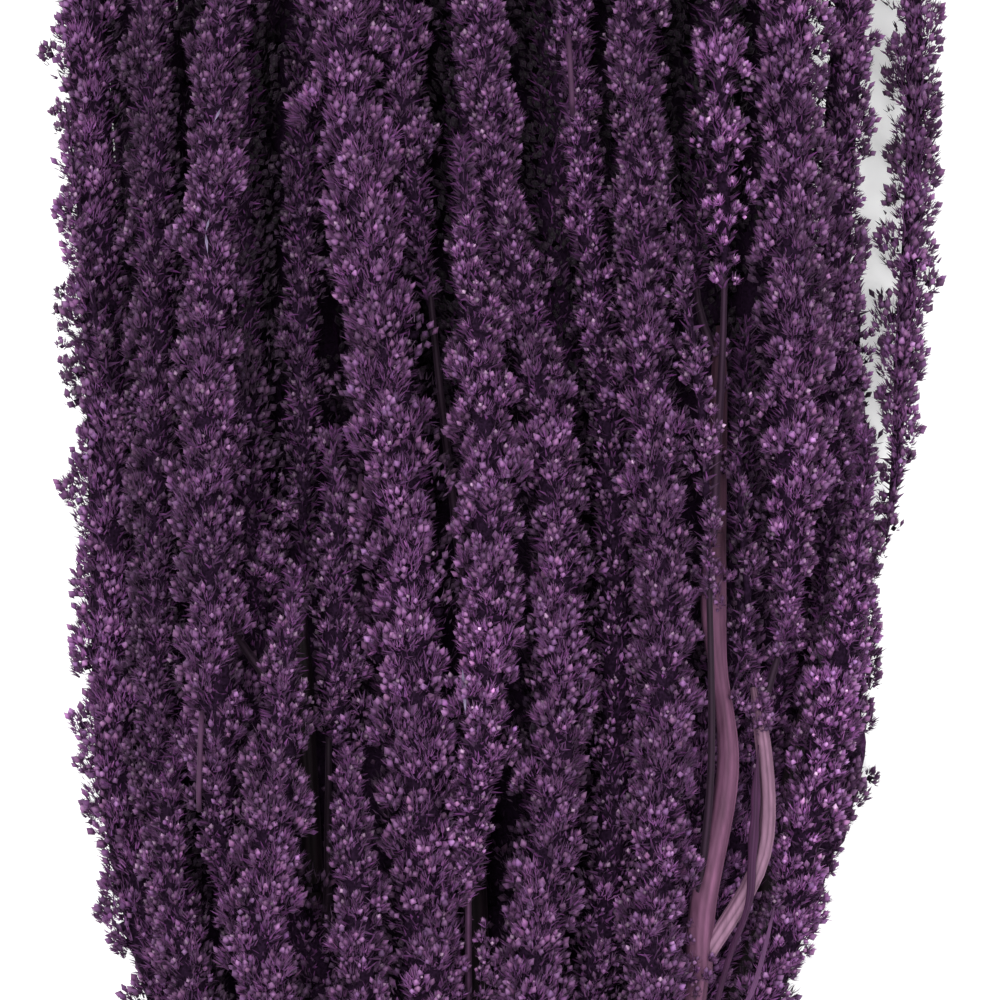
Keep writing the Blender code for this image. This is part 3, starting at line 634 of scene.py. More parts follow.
def add_equal_clusters(faces, clusters, detail, draw):
    """Flower clusters with as many florets each."""
    florets, hairs = detail.florets, detail.hairs
    count = len(clusters.middles)
    step = (np.arange(florets) + 0.5) / florets
    angle = np.arccos(1.0 - step * (1.0 - math.cos(FLORET_CONE)))
    angle = angle + draw.normal(0.0, FLORET_JITTER, (count, florets))
    turn = np.arange(florets) * GOLDEN_ANGLE + draw.uniform(0.0, math.tau, (count, 1))
    stems = around(clusters.axes[:, None] + np.zeros((count, florets, 1)), angle, turn)
    sizes = clusters.sizes[:, None] * draw.uniform(*FLORET_SIZES, (count, florets))
    hearts = clusters.middles[:, None] + stems * np.maximum(sizes - FLORET_DEPTH, 0.35 * sizes)[..., None]
    stems = unit(FLORET_SPLAY * stems + (1.0 - FLORET_SPLAY) * clusters.axes[:, None]
                 + clusters.leans[:, None, None] * clusters.aheads[:, None]
                 + draw.normal(0.0, FLORET_TURN, stems.shape))
    tones = clusters.tones[:, None] * np.exp(draw.normal(-0.01, 0.16, (count, florets)))
    # Painted shade: the florets round a cluster's foot are darker than those on its top.
    tones *= RIM_SHADE + (1.0 - RIM_SHADE) * smooth((np.cos(angle) + 0.25) / 1.0)
    for add, blade, some in ((add_bracts, BRACT, detail.bracts), (add_closed, CLOSED, detail.closed)):
        if some:
            chosen = np.unique(np.linspace(0, florets - 1, some).round().astype(int))
            add_blades(faces, add, blade, 1, 1.0, clusters, stems[:, chosen], hearts[:, chosen],
                       tones[:, chosen], draw)
    if detail.tepals:
        add_blades(faces, add_tepals, TEPAL, detail.tepals, detail.broad, clusters, stems, hearts, tones,
                   draw)
    # Painted shade: each cluster's heart is a dark bead that stands for the shade inside it.
    if detail.hearted:
        add_beads(faces, clusters.middles, clusters.axes, HEART_SHARE * clusters.sizes,
                  SHADED_CORE * clusters.tones[:, None], DARK)
    owner = np.nonzero(draw.uniform(size=(count, 2)) < 0.5 * detail.buds)[0]
    if len(owner):
        axis = stems[owner, draw.integers(0, max(1, florets - 4), len(owner))]
        reach = clusters.sizes[owner] * draw.uniform(0.62, 0.98, len(owner))
        colour = BUD * (clusters.tones[owner] * np.exp(draw.normal(-0.40, 0.35, len(owner))))[:, None]
        add_beads(faces, clusters.middles[owner] + axis * reach[:, None], axis,
                  draw.uniform(0.32, 0.60, len(owner)), colour)
    if hairs:
        owner = np.repeat(np.arange(count), hairs)
        axis = stems[owner, draw.integers(0, florets, len(owner))]
        axis = around(axis, draw.uniform(0.0, 0.5, len(owner)), draw.uniform(0.0, TURN, len(owner)))
        length = clusters.sizes[owner] * draw.uniform(0.45, 0.80, len(owner))
        colour = PALE * (0.7 * clusters.tones[owner])[:, None]
        start = clusters.middles[owner] + axis * (0.62 * clusters.sizes[owner])[:, None]
        add_hairs(faces, start, axis, length, draw.uniform(0.09, 0.14, len(owner)), colour)


def bead(tassel, heights):
    """How thick a tassel is along its length where its clusters stand apart like beads."""
    if tassel.name not in BEADED or tassel.name in CROWDED:
        return np.ones(len(heights))
    mean = 0.5 * (1.0 + BEAD_WAIST)
    return mean + (1.0 - mean) * np.cos(math.pi * (heights - tassel.base) / RING_PITCH)


def dressed_radius(tassel, heights, turns=0.0):
    """How far out a tassel's bracts reach, further at the sides of the tassels inside and under the head."""
    around_it, sideways = FULLNESS.get(tassel.name, FULLNESS.get(tassel.kind, (1.0, 0.0)))
    fullness = around_it + sideways * np.abs(np.cos(turns))
    if tassel.name in SLIM:
        fullness = fullness * (1.0 - SLIMMER * smooth((heights - SLIM_FROM) / SLIM_OVER))
    if tassel.name in WIDER:
        fullness = fullness * np.interp(heights, *zip(*WIDER[tassel.name]))
    return fullness * flower_radius(tassel, heights) * bead(tassel, heights)


def dressed_route(tassel, heights):
    """The middle of a tassel's flowers at the heights."""
    middles = route(tassel, heights)
    if tassel.name in ASIDE:
        middles[:, 0] += np.interp(heights, *zip(*ASIDE[tassel.name]))
    return middles


def cluster_size(tassel, heights):
    radius = dressed_radius(tassel, heights)
    reach = REACHES.get(tassel.name, CLUSTER_REACH)
    return np.maximum(reach * radius, np.minimum(SMALLEST_CLUSTER, WIDEST_CLUSTER * radius))


def cluster_heights(tassel, draw):
    """The heights of a tassel's clusters, as close together as their size asks."""
    fine = np.linspace(tassel.base + 0.8, tassel.tip - 1.0, 400)
    crowd = math.tau * dressed_radius(tassel, fine) / (CLUSTER_SHARE * cluster_size(tassel, fine) ** 2)
    crowd *= np.maximum(bead(tassel, fine), 0.4) ** 2
    total = np.concatenate([[0.0], np.cumsum(0.5 * (crowd[1:] + crowd[:-1]) * np.diff(fine))])
    count = max(12, round(total[-1]))
    wanted = (np.arange(count) + 0.5) / count * total[-1]
    return np.interp(wanted, total, fine) + draw.normal(0.0, 0.45, count)


def unevenness(heights, turns, draw):
    """Lumps and hollows of a tassel: a sum of slow waves along it and round it."""
    value = np.zeros(len(heights))
    for wave, rounds in LUMP_WAVES:
        value += np.sin(math.tau * heights / wave + rounds * turns + draw.uniform(0.0, TURN))
    return value / len(LUMP_WAVES)


def openness(tassel, heights, turns, tassels):
    """The share of rays from each cluster, in the row across it, that leave the head without meeting another
    tassel, and whether it can be seen from above."""
    out = np.stack([np.cos(turns), np.sin(turns)], axis=-1)
    first_reach = RAY_START * flower_radius(tassel, heights)
    start = route(tassel, heights)[:, [0, 2]] + out * first_reach[:, None]
    others = [other for other in tassels if other is not tassel]
    offset = np.array([route(other, heights)[:, [0, 2]] for other in others]) - start[None]
    reach = np.array([np.where((heights > other.base) & (heights < other.tip),
                               flower_radius(other, heights), 0.0) for other in others])

    def leaves(angle, share):
        ray = np.stack([np.cos(angle), np.sin(angle)], axis=-1)
        ahead = (offset * ray[None]).sum(axis=-1)
        aside = (offset ** 2).sum(axis=-1) - ahead ** 2
        return ~((ahead > 0.0) & (aside < (share * reach) ** 2)).any(axis=0) & (ray[:, 1] > LOWEST_RAY)

    free = sum(leaves(turns + span, RAY_SHARE).astype(float) for span in RAYS) / len(RAYS)
    above = np.full(len(heights), 0.5 * math.pi)
    seen = np.any([leaves(above + lean, VIEW_SHARE) for lean in VIEW_LEANS], axis=0)
    return free, seen & (np.sin(turns) > LOWEST_SEEN)


def add_loft(faces, rings, ends, shades, kind=0):
    """A closed skin over rings of points (rings, points, 3), drawn to a point at each end."""
    count, sides = rings.shape[:2]
    here = np.arange(sides)
    there = (here + 1) % sides
    low = sides * np.arange(count - 1)[:, None]
    last = sides * (count - 1)
    first = np.stack([low + sides + there, low + there, low + here], axis=-1).reshape(-1, 3)
    second = np.stack([low + sides + here, low + sides + there, low + here], axis=-1).reshape(-1, 3)
    foot = np.stack([here, there, np.full(sides, count * sides)], axis=-1)
    tip = np.stack([last + there, last + here, np.full(sides, count * sides + 1)], axis=-1)
    shades = shades.reshape(-1, 3)
    faces.add(np.concatenate([rings.reshape(-1, 3), ends])[None], np.concatenate([first, second, foot, tip]),
              np.concatenate([shades, shades[[0, -1]]])[None], kind)


def add_tube(faces, centres, radii, sides, colours, lumps=1.0, kind=0):
    """A tube through the points. Colours, and lumps as shares of its radius, hold for all of it or vertex by
    vertex."""
    ahead = unit(np.gradient(centres, axis=0))
    side = unit(np.cross(ahead, [0.0, 0.0, 1.0]))
    up = np.cross(side, ahead)
    turns = math.tau / sides * np.arange(sides)
    ring = np.cos(turns)[None, :, None] * side[:, None] + np.sin(turns)[None, :, None] * up[:, None]
    reach = radii[:, None] * (lumps * np.ones(sides))
    points = centres[:, None] + ring * reach[..., None]
    add_loft(faces, points, centres[[0, -1]], np.broadcast_to(colours, points.shape), kind)


def lumpy_skin(count, draw):
    """The colours and lumps of a core that shows from beside and below."""
    turns = math.tau / LUMPY_SIDES * np.arange(LUMPY_SIDES)
    # Painted shade on top, where the head covers them; lighter purple beside and below.
    tone = smooth((0.35 - np.sin(turns)) / 0.6) * np.exp(draw.normal(-0.7, 0.5, (count, LUMPY_SIDES)))
    return SHADED_CORE + (PURPLE - SHADED_CORE) * tone[..., None], draw.uniform(0.82, 1.16, (count, LUMPY_SIDES))


def along(heights, ys, centres):
    """The points of a line at the heights."""
    return np.stack([np.interp(heights, ys, centres[:, k]) for k in range(3)], axis=-1)


def add_core(faces, tassel, draw):
    """The tassel's core, painted dark as the shade inside it, and the bed of bracts on it that shows between
    its clusters.
    """
    lower = tassel.kind == "lower"
    share = LOWER_CORE if lower else BEADED_CORE if tassel.name in BEADED else CORE_SHARE
    step = LUMPY_RING if lower else CORE_RING
    ys = np.linspace(tassel.base - 1.0, tassel.tip - 1.0, max(6, round((tassel.tip - tassel.base) / step)))
    centres = dressed_route(tassel, ys)
    thick = share * dressed_radius(tassel, ys) * (
        CORE_FOOT_SHARE + (1.0 - CORE_FOOT_SHARE) * smooth((ys - ys[0]) / CORE_FOOT))
    thick[-1] *= CORE_TIP_SHARE
    if lower:
        add_tube(faces, centres, thick, LUMPY_SIDES, *lumpy_skin(len(ys), draw), DARK)
        return
    # The core is painted dark, as the shade inside the tassel.
    add_tube(faces, centres, thick, CORE_SIDES, SHADED_CORE, 1.0, DARK)
    area = (math.pi + 2.0 * BED_PAST) * thick.mean() * (ys[-1] - ys[0])
    count = round(BED_CROWD * area)
    heights = draw.uniform(ys[0] + 1.0, ys[-1], count)
    turns = draw.uniform(-BED_PAST, math.pi + BED_PAST, count)
    outward = np.stack([np.cos(turns), np.zeros(count), np.sin(turns)], axis=-1)
    foot = along(heights, ys, centres) + outward * (0.85 * np.interp(heights, ys, thick))[:, None]
    direction = unit(outward + [0.0, 0.7, 0.0] + draw.normal(0.0, 0.45, (count, 3)))
    tone = np.exp(draw.normal(-0.45, 0.30, count))[:, None]
    colours = (SHADED_CORE + np.zeros((count, 3)), 0.7 * PURPLE * tone, 1.4 * PURPLE * tone)
    facing = unit(outward + draw.normal(0.0, 0.6, (count, 3)))
    lengths = draw.uniform(1.4, 2.6, count)
    add_tepals(faces, foot, direction, facing, outward, lengths, draw.uniform(0.45, 0.85, count), colours)


def cluster_tones(tassel, heights, free, draw):
    """How light each cluster is: by its tassel, with painted shade where less light gets in, towards the top
    of the head and on the tassels inside and under it, and with slow changes along the tassel.
    """
    slow = 0.12 * np.sin(heights / 13.0 + draw.uniform(0.0, TURN)) + 0.08 * np.sin(heights / 5.7)
    tone = TASSEL_TONES_AND_LIGHT.get(tassel.name, 1.0) * np.exp(draw.normal(0.0, 0.15, len(heights)) + slow)
    lit = DEEP_TONE + (1.0 - DEEP_TONE) * smooth(free / LIT_SHARE)
    # Painted shade: clusters get darker towards the top of the head, where the light is weaker.
    tone *= lit * (1.04 - 0.12 * smooth((heights + 10.0) / 90.0))
    # Painted shade on the tassels inside and under the head.
    if tassel.name not in UPPER:
        tone *= 1.0 - (1.0 - INSIDE_SHADE) * smooth((heights - INSIDE_FROM) / INSIDE_OVER)
    return tone


def tassel_piece(number, tassels, materials):
    """One tassel: a dark core set all over with flower clusters."""
    tassel = tassels[number]
    draw = np.random.default_rng([SEED, number])
    heights = cluster_heights(tassel, draw)
    turns = np.arange(len(heights)) * GOLDEN_ANGLE + draw.normal(0.0, 0.15, len(heights))
    turns = np.mod(turns + draw.uniform(0.0, 6.28), math.tau)
    centres = dressed_route(tassel, heights)
    aheads = unit(route(tassel, heights + 2.0) - route(tassel, heights - 2.0))
    sides = unit(np.cross(aheads, [0.0, 0.0, 1.0]))
    outward = np.cos(turns)[:, None] * sides + np.sin(turns)[:, None] * np.cross(sides, aheads)
    for length in WANDER_WAVES:
        wave = np.sin(math.tau * heights[:, None] / length + draw.uniform(0.0, TURN, 2))
        centres[:, [0, 2]] += WANDER * wave * (0.9, 0.5)
    lumps = 1.0 + UNEVEN * unevenness(heights, turns, draw)
    sizes = cluster_size(tassel, heights) * draw.uniform(*CLUSTER_SIZES, len(heights)) * lumps ** 0.5
    radius = dressed_radius(tassel, heights, turns) * lumps
    middles = centres + outward * np.maximum(radius - sizes, 0.0)[:, None]
    axes = unit(outward + CLUSTER_LEAN * aheads)
    leans = FLORET_LEAN + TIP_LEAN * smooth((heights - tassel.tip + TIP_LEAN_FROM) / TIP_LEAN_OVER)
    free, seen = openness(tassel, heights, turns, tassels)
    if tassel.name in ALWAYS_OPEN:
        free = np.maximum(free, np.where(np.sin(turns) > UPPER_SIDE, OPEN_SHARE, 0.0))
    tone = cluster_tones(tassel, heights, free, draw)
    clusters = Clusters(middles, axes, aheads, leans, sizes, tone)
    shown = seen & (free >= OPEN_FROM) & (np.abs(heights) < BESIDE_FROM)
    beside = ~shown & (seen | (free >= OPEN_FROM))
    glimpsed = ~shown & ~beside & (free >= GLIMPSED_FROM)
    hidden = ~(shown | beside | glimpsed)
    faces = Faces()
    for chosen, detail in ((shown, OPEN), (beside, BESIDE), (glimpsed, GLIMPSED), (hidden, HIDDEN)):
        add_clusters(faces, pick(clusters, chosen), detail, draw)
    add_core(faces, tassel, draw)
    faces.piece(f"{tassel.name}_flowers", materials, tassel.name)


# The stalk and the leaves.

STEM_SIDES = 40
STEM_RING = 3.0
# A limb's grooves: how many, how wide in radians, how deep beside its radius, how far they wander and
# over what lengths, and over what length they turn by one radian.
STEM_GROOVES = 8
GROOVE_WIDTH = 0.15
GROOVE_DEPTH = 0.13
GROOVE_WANDER = 0.10
GROOVE_WAVES = (9.0, 22.0)
GROOVE_TWIST = 240.0
# Its broad faces between them.
BROAD_FACES, BROAD_DEPTH = 3.0, 0.05
TWIG_SIDES = 8
TWIG_RING = 3.0
TWIG_RADIUS = 0.62
# Over what length a limb thins out at its end, and how thin it gets.
LIMB_TAPER = 9.0
LIMB_END = 0.45
# How far to the right of its solid a branch lies.
TWIG_ASIDE = {"centre_spear": -2.2}
MAUVE = np.array([0.198, 0.108, 0.165])
# The colour painted into a limb's grooves, as the shade in them.
GROOVE_SHADE = np.array([0.054, 0.023, 0.043])
# Fine streaks along a limb: how strong they are, and over what length they change.
STREAK = 0.13
STREAK_LENGTH = 26.0
BROWN = np.array([0.026, 0.0105, 0.0155])
TWIG = np.array([0.040, 0.0165, 0.038])
# How light the branches are: inside the head by tassel, most of them darker as painted shade, and lighter
# below the head where they are bare.
BARE_TWIG = 2.0
TWIG_TONES = {"centre_spear": 2.2, "fork_spear": 1.0, "right_spear": 0.6, "beaded": 1.0, "left_spear": 0.35}
# How wide a limb is along its length beside its solid, and how brown it is there.
LIMB_WIDTHS = {
    "front_left": ((-76, 1), (-45, 0.95), (-34, 0.8), (-27, 0.68), (-22, 1.15), (-14, 1.25), (-6, 1),
        (28, 0.95)),
    "front": ((-168, 1), (-95, 0.9), (-84, 0.72), (-76, 0.78), (-70, 0.95)),
}
# Inside the head most limbs are painted darker, as the shade they lie in; those that show keep their own
# tones, and below the head all turn to the bare colour.
LIMB_TONES = {"front_left": (0.58, 0.44, 0.54), "front": (0.58, 0.44, 0.54)}
SHADED_LIMB = (0.08, 0.068, 0.08)
BARE_LIMB = np.array([0.64, 0.50, 0.58])
BARE_BELOW, BARE_OVER = -125.0, 40.0
LIMB_BROWN = {
    "front_left": ((-76, 0), (-16, 0), (-8, 0.75), (16, 0.8), (28, 0.95)),
    "main": ((-238, 0.1), (-150, 0.3), (-14, 0.6)),
    "left": ((-172, 0.4), (-20, 0.6)),
    "right": ((-160, 0.4), (-26, 0.6)),
    "front": ((-168, 0.3), (-70, 0.05)),
    "front_right": ((-74, 0), (-40, 0.2), (-30, 0.4)),
}


def eased(values, turns=6):
    """Rounds the corners of a route whose points are evenly spaced."""
    for _ in range(turns):
        values = np.concatenate([values[:1], 0.25 * values[:-2] + 0.5 * values[1:-1] + 0.25 * values[2:],
                                 values[-1:]])
    return values


def add_stem(faces, limb, draw):
    """A ribbed limb of the stalk."""
    low, high = LIMBS[limb][2][0][0], LIMBS[limb][2][-1][0]
    ys = np.linspace(low, high, round((high - low) / STEM_RING) + 1)
    middle, radii = limb_place(limb, ys)
    centres = eased(np.stack([middle[:, 0], ys, middle[:, 1]], axis=-1))
    radii = eased(radii * np.interp(ys, *zip(*LIMB_WIDTHS.get(limb, ((low, 1.0),)))), 2)
    radii *= LIMB_END + (1.0 - LIMB_END) * smooth((high - ys) / LIMB_TAPER + 0.1)
    brown = np.interp(ys, *zip(*LIMB_BROWN[limb]))[:, None, None]
    turns = math.tau / STEM_SIDES * np.arange(STEM_SIDES)
    # Narrow grooves at uneven turns, which wander a little along the limb, between broad smooth faces.
    grooves = np.cumsum(draw.uniform(0.35, 1.05, STEM_GROOVES))
    grooves *= math.tau / grooves[-1]
    depths = draw.uniform(0.35, 1.0, STEM_GROOVES)
    waves = ys[:, None] / draw.uniform(*GROOVE_WAVES, STEM_GROOVES)
    wander = GROOVE_WANDER * np.sin(waves + draw.uniform(0.0, TURN, STEM_GROOVES))
    off = turns[None, :, None] - grooves[None, None] - wander[:, None] - (ys / GROOVE_TWIST)[:, None, None]
    off = np.abs(np.mod(off + math.pi, math.tau) - math.pi)
    cut = (depths * np.exp(-(off / GROOVE_WIDTH) ** 2)).max(axis=-1)
    broad = 0.5 + 0.5 * np.cos(BROAD_FACES * turns + draw.uniform(0.0, TURN))[None] * np.ones((len(ys), 1))
    lumps = 1.0 - GROOVE_DEPTH * cut - BROAD_DEPTH * broad
    lumps += 0.02 * np.sin(ys / 4.1 + draw.uniform(0.0, TURN))[:, None]
    # Painted shade: the grooves are darkened, as the shade that falls in them.
    light = ((1.0 - 0.85 * cut) * (0.80 + 0.20 * broad))[..., None]
    colours = GROOVE_SHADE + (MAUVE - GROOVE_SHADE) * light
    colours = colours + (BROWN * (0.6 + 0.7 * light) - colours) * brown
    knots = np.arange(low, high + STREAK_LENGTH, STREAK_LENGTH)
    streaks = draw.normal(0.0, 1.0, (len(knots), STEM_SIDES))
    streaks = np.array([np.interp(ys, knots, streak) for streak in streaks.T]).T
    colours = colours * np.exp(STREAK * (streaks + 0.6 * np.roll(streaks, 1, axis=1)))[..., None]
    colours = colours * (1.0 + 0.10 * np.sin(ys[:, None] / 9.0 + 1.3 * turns[None]))[..., None]
    # Painted shade: inside the head a limb is darkened, except front_right, and below it turns to its bare
    # colour.
    shaded = np.array(LIMB_TONES.get(limb, SHADED_LIMB))
    bare = smooth((BARE_BELOW - ys) / BARE_OVER)[:, None, None]
    if limb != "front_right":
        colours = colours * (shaded + (BARE_LIMB - shaded) * bare)
    add_tube(faces, centres, radii, STEM_SIDES, colours, lumps)


def add_twig(faces, tassel):
    """The thin branch from a limb to the foot of a tassel."""
    length = tassel.base - tassel.leave
    ys = np.linspace(tassel.leave, tassel.base + 2.0, max(4, round(length / TWIG_RING)))
    centres = eased(route(tassel, ys), 2)
    share = np.clip((ys - tassel.leave) / length, 0.0, 1.0)
    centres[:, 0] += TWIG_ASIDE.get(tassel.name, 0.0) * smooth(2.5 * share)
    ribs = np.arange(TWIG_SIDES) % 2
    # Painted shade: inside the head a branch is darker, and below the head it turns lighter.
    tone = TWIG_TONES.get(tassel.name, 0.6) * (1.0 - 0.35 * share)
    tone = tone + (BARE_TWIG - tone) * smooth((BARE_BELOW - ys) / BARE_OVER)
    colours = TWIG * (1.0 - 0.5 * ribs)[None, :, None] * tone[:, None, None]
    add_tube(faces, centres, TWIG_RADIUS * (1.25 - 0.45 * share), TWIG_SIDES, colours, 1.0 - 0.14 * ribs)


# Small flower clusters where the stalk is bare in its solid: limb, lowest and highest y, how many, radius.
AXILS = (
    ("right", -84, -27, 46, 1.9), ("front", -79, -71, 5, 1.3), ("front_left", -17, -9, 8, 1.6),
    ("front_left", 3, 8, 5, 1.5), ("front_right", -37, -29, 9, 1.7), ("left", -86, -66, 9, 1.6),
    ("front_left", 14, 26, 7, 1.5), ("right", -118, -92, 10, 1.8), ("main", -40, -16, 12, 1.7),
)
# Clusters placed one by one (x, y, z, radius): beside the trunk, over the limbs and at the left edge.
TUFTS = (
    (31, -67.8, 33.2, 1.6), (30.3, -70.4, 33, 1.8), (31, -73.4, 33, 1.8), (30.3, -76.2, 32.6, 1.9),
    (31.2, -78.8, 32.4, 1.7), (30.8, -81.6, 32, 1.9), (38.4, -32.8, 34, 1.8), (37.2, -31.6, 33.6, 1.6),
    (39.8, -33.8, 33.6, 1.6), (31.8, -12, 33.4, 1.9), (34.4, -14.6, 33.8, 1.8), (36, -12.6, 33, 1.8),
    (30.6, -15.6, 33, 1.7), (-71.6, 33.6, 10.6, 1.9), (-72.4, 30.8, 10.2, 1.6), (-72, 28, 10, 1.5),
    (-71.8, 25.2, 10, 1.7), (-71.4, 22.6, 10, 1.6), (-71, 19.8, 9.8, 1.8), (-70, 17.4, 9.6, 1.7),
    (-72.6, 63, 14, 1.3), (-71.8, 60.4, 14, 1.6), (-71.2, 57.6, 14, 1.7), (43.6, -64.2, 35.2, 1.7),
    (42.6, -66.2, 35.4, 1.5), (44.8, -62.6, 34.6, 1.6), (-23.6, -41, 33, 2.2),
    (-21.6, -38.2, 33.4, 2.1), (-24.2, -35.8, 32.6, 2.2), (-22, -33.2, 33.2, 2.3),
    (-24.4, -30.4, 32.2, 2), (-22.4, -27.6, 32.8, 2.1), (-23.8, -24.6, 32, 2), (-22.2, -21.4, 32, 1.9),
    (-2.3, -67.4, 38.4, 1.2), (-2.9, -69.6, 38.2, 1.6), (-1.2, -70.6, 37.6, 1.6),
    (-2.4, -72.6, 38.4, 1.9), (-0.4, -73.6, 37.2, 1.8), (-3, -75.4, 37.8, 1.9), (-1, -76.4, 38.2, 2),
    (0.6, -77.6, 36.8, 1.9), (-2.4, -78.8, 38, 2), (-0.2, -80.4, 38, 2.1), (-7, -71.2, 36.4, 1.5),
    (-6.4, -74, 36, 1.8), (-7.8, -76.2, 36.2, 1.7), (-6.6, -78.8, 35.8, 1.9), (-2.6, -82.4, 37.4, 2),
    (0.4, -83.8, 37.2, 2), (-7.4, -81.6, 35.8, 1.8), (-1.4, -86.2, 36.6, 1.9), (-6, -85, 35.4, 1.8),
    (-33.2, 0.8, 30.6, 1.4), (-34.4, -1.4, 31.2, 1.7), (-33, -3, 30.2, 1.7), (-35.4, -4.2, 31.6, 1.9),
    (-36.8, -6.6, 31.8, 2), (-34.8, -7.2, 31, 1.9), (-38, -9.2, 31.6, 1.9), (-35.8, -10.2, 31.2, 2),
    (-39, -11.8, 31, 1.8), (-36.8, -13.2, 30.8, 1.9), (56.8, 26, 20, 1.8), (57, 23.8, 19.4, 1.6),
)
# Pale slips of dry bract that lie on the tassels: foot (x, y, z), length, lean to the side.
SLIPS = (
    (-5.9, -26.4, 45.6, 7.5, 0.07), (-44.2, 62.2, 37.5, 2.6, -0.5), (-46.6, 42.2, 38.6, 3.2, 0.1),
    (-46, 44.6, 38.4, 2.2, -0.3),
)
SLIP = np.array([0.125, 0.105, 0.165])
# Bare stretches of a tassel's own stem between its clusters: lowest (x, y), highest (x, y), height.
STRETCHES = (
    (-22.9, -6.2, -22.4, 1.6, 31.5), (-47.7, -46.4, -47.4, -36.6, 38.4), (-22.8, -60, -23.4, -55.8, 38),
    (-5.2, -64, -5.4, -58, 37), (11.4, 63.8, 11, 71.6, 37.5),
)
STRETCH_SINK = 3.2
STRETCH_RINGS = 8
STRETCH_RADIUS = 0.42
# Tassels with a few clusters down their branch: how far down, and how far apart these are.
SPRIGGED = {"left_sprig": 34.0, "right_edge": 26.0, "right_sprig": 26.0, "right_wide": 4.0, "left_dark": 6.0,
            "right_back": 8.0, "left_edge": 14.0}
SPRIG_STEP = 1.3


def axil_piece(tassels, materials):
    """The small clusters that sit on limbs and branches, and the slips."""
    draw = np.random.default_rng([SEED, 901])
    faces = Faces()
    middles, sizes = [], []
    for limb, low, high, count, size in AXILS:
        ys = draw.uniform(low, high, count)
        middle, radii = limb_place(limb, ys)
        turns = draw.uniform(0.1, math.pi - 0.1, count)
        middles.append(np.stack([middle[:, 0] + 0.9 * radii * np.cos(turns), ys,
                                 middle[:, 1] + 0.9 * radii * np.sin(turns)], axis=-1))
        sizes.append(size * draw.uniform(0.75, 1.2, count))
    for tassel in tassels:
        down = SPRIGGED.get(tassel.name)
        if down:
            count = round(down / SPRIG_STEP)
            ys = draw.uniform(tassel.base - down, tassel.base + 2.0, count)
            middles.append(route(tassel, ys) + draw.normal(0.0, 0.7, (count, 3)))
            sizes.append(draw.uniform(1.2, 2.0, count))
    tufts = np.array(TUFTS)
    middles, sizes = np.concatenate([*middles, tufts[:, :3]]), np.concatenate([*sizes, tufts[:, 3]])
    count = len(middles)
    axes = np.stack([draw.normal(0.0, 0.5, count), np.full(count, 0.5), np.full(count, 1.0)], axis=-1)
    tones = np.exp(draw.normal(-0.05, 0.18, count))
    add_clusters(faces, small_clusters(middles, axes, sizes, tones), OPEN, draw)
    slips = np.array(SLIPS)
    direction = unit(np.stack([slips[:, 4], np.full(len(slips), -1.0), np.full(len(slips), -0.04)], axis=-1))
    pale = np.tile(SLIP, (len(slips), 1))
    above = np.tile([0.0, 0.0, 1.0], (len(slips), 1))
    add_bracts(faces, slips[:, :3], direction, above, above, slips[:, 3], 0.10 * slips[:, 3] + 0.15,
               (0.6 * pale, pale, 1.1 * pale))
    faces.piece("axil_flowers", materials, None)


# The sprigs on the ground: where they end, their core's rings and sides, and how far apart clusters are.
UNDER_LOWEST, UNDER_HIGHEST = -112.0, 100.0
UNDER_RING = 4.0
UNDER_SIDES = 6
UNDER_STEP = 1.6


def under_piece(tassels, materials):
    """Thin sprigs that lie on the ground between the lowest tassels."""
    draw = np.random.default_rng([SEED, 902])
    faces = Faces()
    named = {tassel.name: tassel for tassel in tassels}
    lower = [named["left_edge"], *(named[f"lower_{k}"] for k in range(1, len(LOWER) + 2))]
    for left, right in zip(lower[:-1], lower[1:]):
        low = max(UNDER_LOWEST, left.base, right.base)
        high = min(UNDER_HIGHEST, left.tip, right.tip)
        ys = np.arange(low, high, UNDER_RING)
        first, second = route(left, ys), route(right, ys)
        gap = second[:, 0] - first[:, 0] - flower_radius(left, ys) - flower_radius(right, ys)
        radius = eased(np.clip(0.5 * gap + 2.4, 2.2, 4.6), 2)
        radius[[0, -1]] *= 0.4
        centres = 0.5 * (first + second)
        centres[:, 2] = 0.5 * centres[:, 2] + 0.4
        # The sprigs' core is painted dark, as the shade under the head.
        add_tube(faces, centres, 0.8 * radius, UNDER_SIDES, SHADED_CORE, 1.0, DARK)
        count = round((high - low) / UNDER_STEP)
        heights = np.sort(draw.uniform(low, high, count))
        turns = draw.uniform(0.2, math.pi - 0.2, count)
        reach = np.interp(heights, ys, radius)
        out = np.stack([np.cos(turns), np.zeros(count), np.sin(turns)], axis=-1)
        middles = along(heights, ys, centres) + 0.6 * reach[:, None] * out
        # Painted shade: the clusters under the head are half as light.
        tones = 0.5 * np.exp(draw.normal(0.0, 0.15, count))
        clusters = small_clusters(middles, out + [0.0, 0.4, 0.0], 0.75 * reach, tones)
        add_clusters(faces, clusters, HIDDEN, draw)
    faces.piece("under_sprigs", materials, None)


def stalk_piece(tassels, materials):
    """The stalk with its limbs, the branches that carry the tassels, and the bare stretches of stem."""
    draw = np.random.default_rng([SEED, 900])
    faces = Faces()
    for limb in LIMBS:
        add_stem(faces, limb, draw)
    for tassel in tassels:
        add_twig(faces, tassel)
    for left, low, right, high, height in STRETCHES:
        share = np.linspace(-0.30, 1.30, STRETCH_RINGS)
        sink = STRETCH_SINK * np.maximum(np.abs(share - 0.5) - 0.35, 0.0) ** 2 / 0.25
        centres = np.stack([left + (right - left) * share, low + (high - low) * share, height - sink],
                           axis=-1)
        add_tube(faces, centres, np.full(STRETCH_RINGS, STRETCH_RADIUS), TWIG_SIDES, 1.15 * TWIG)
    faces.piece("stalk_stems", materials, "stalk")


LEAF_STEP = 1.2
LEAF_ACROSS = 8
LEAF_RIBS = 3.0
LEAF_THICKNESS = 0.17
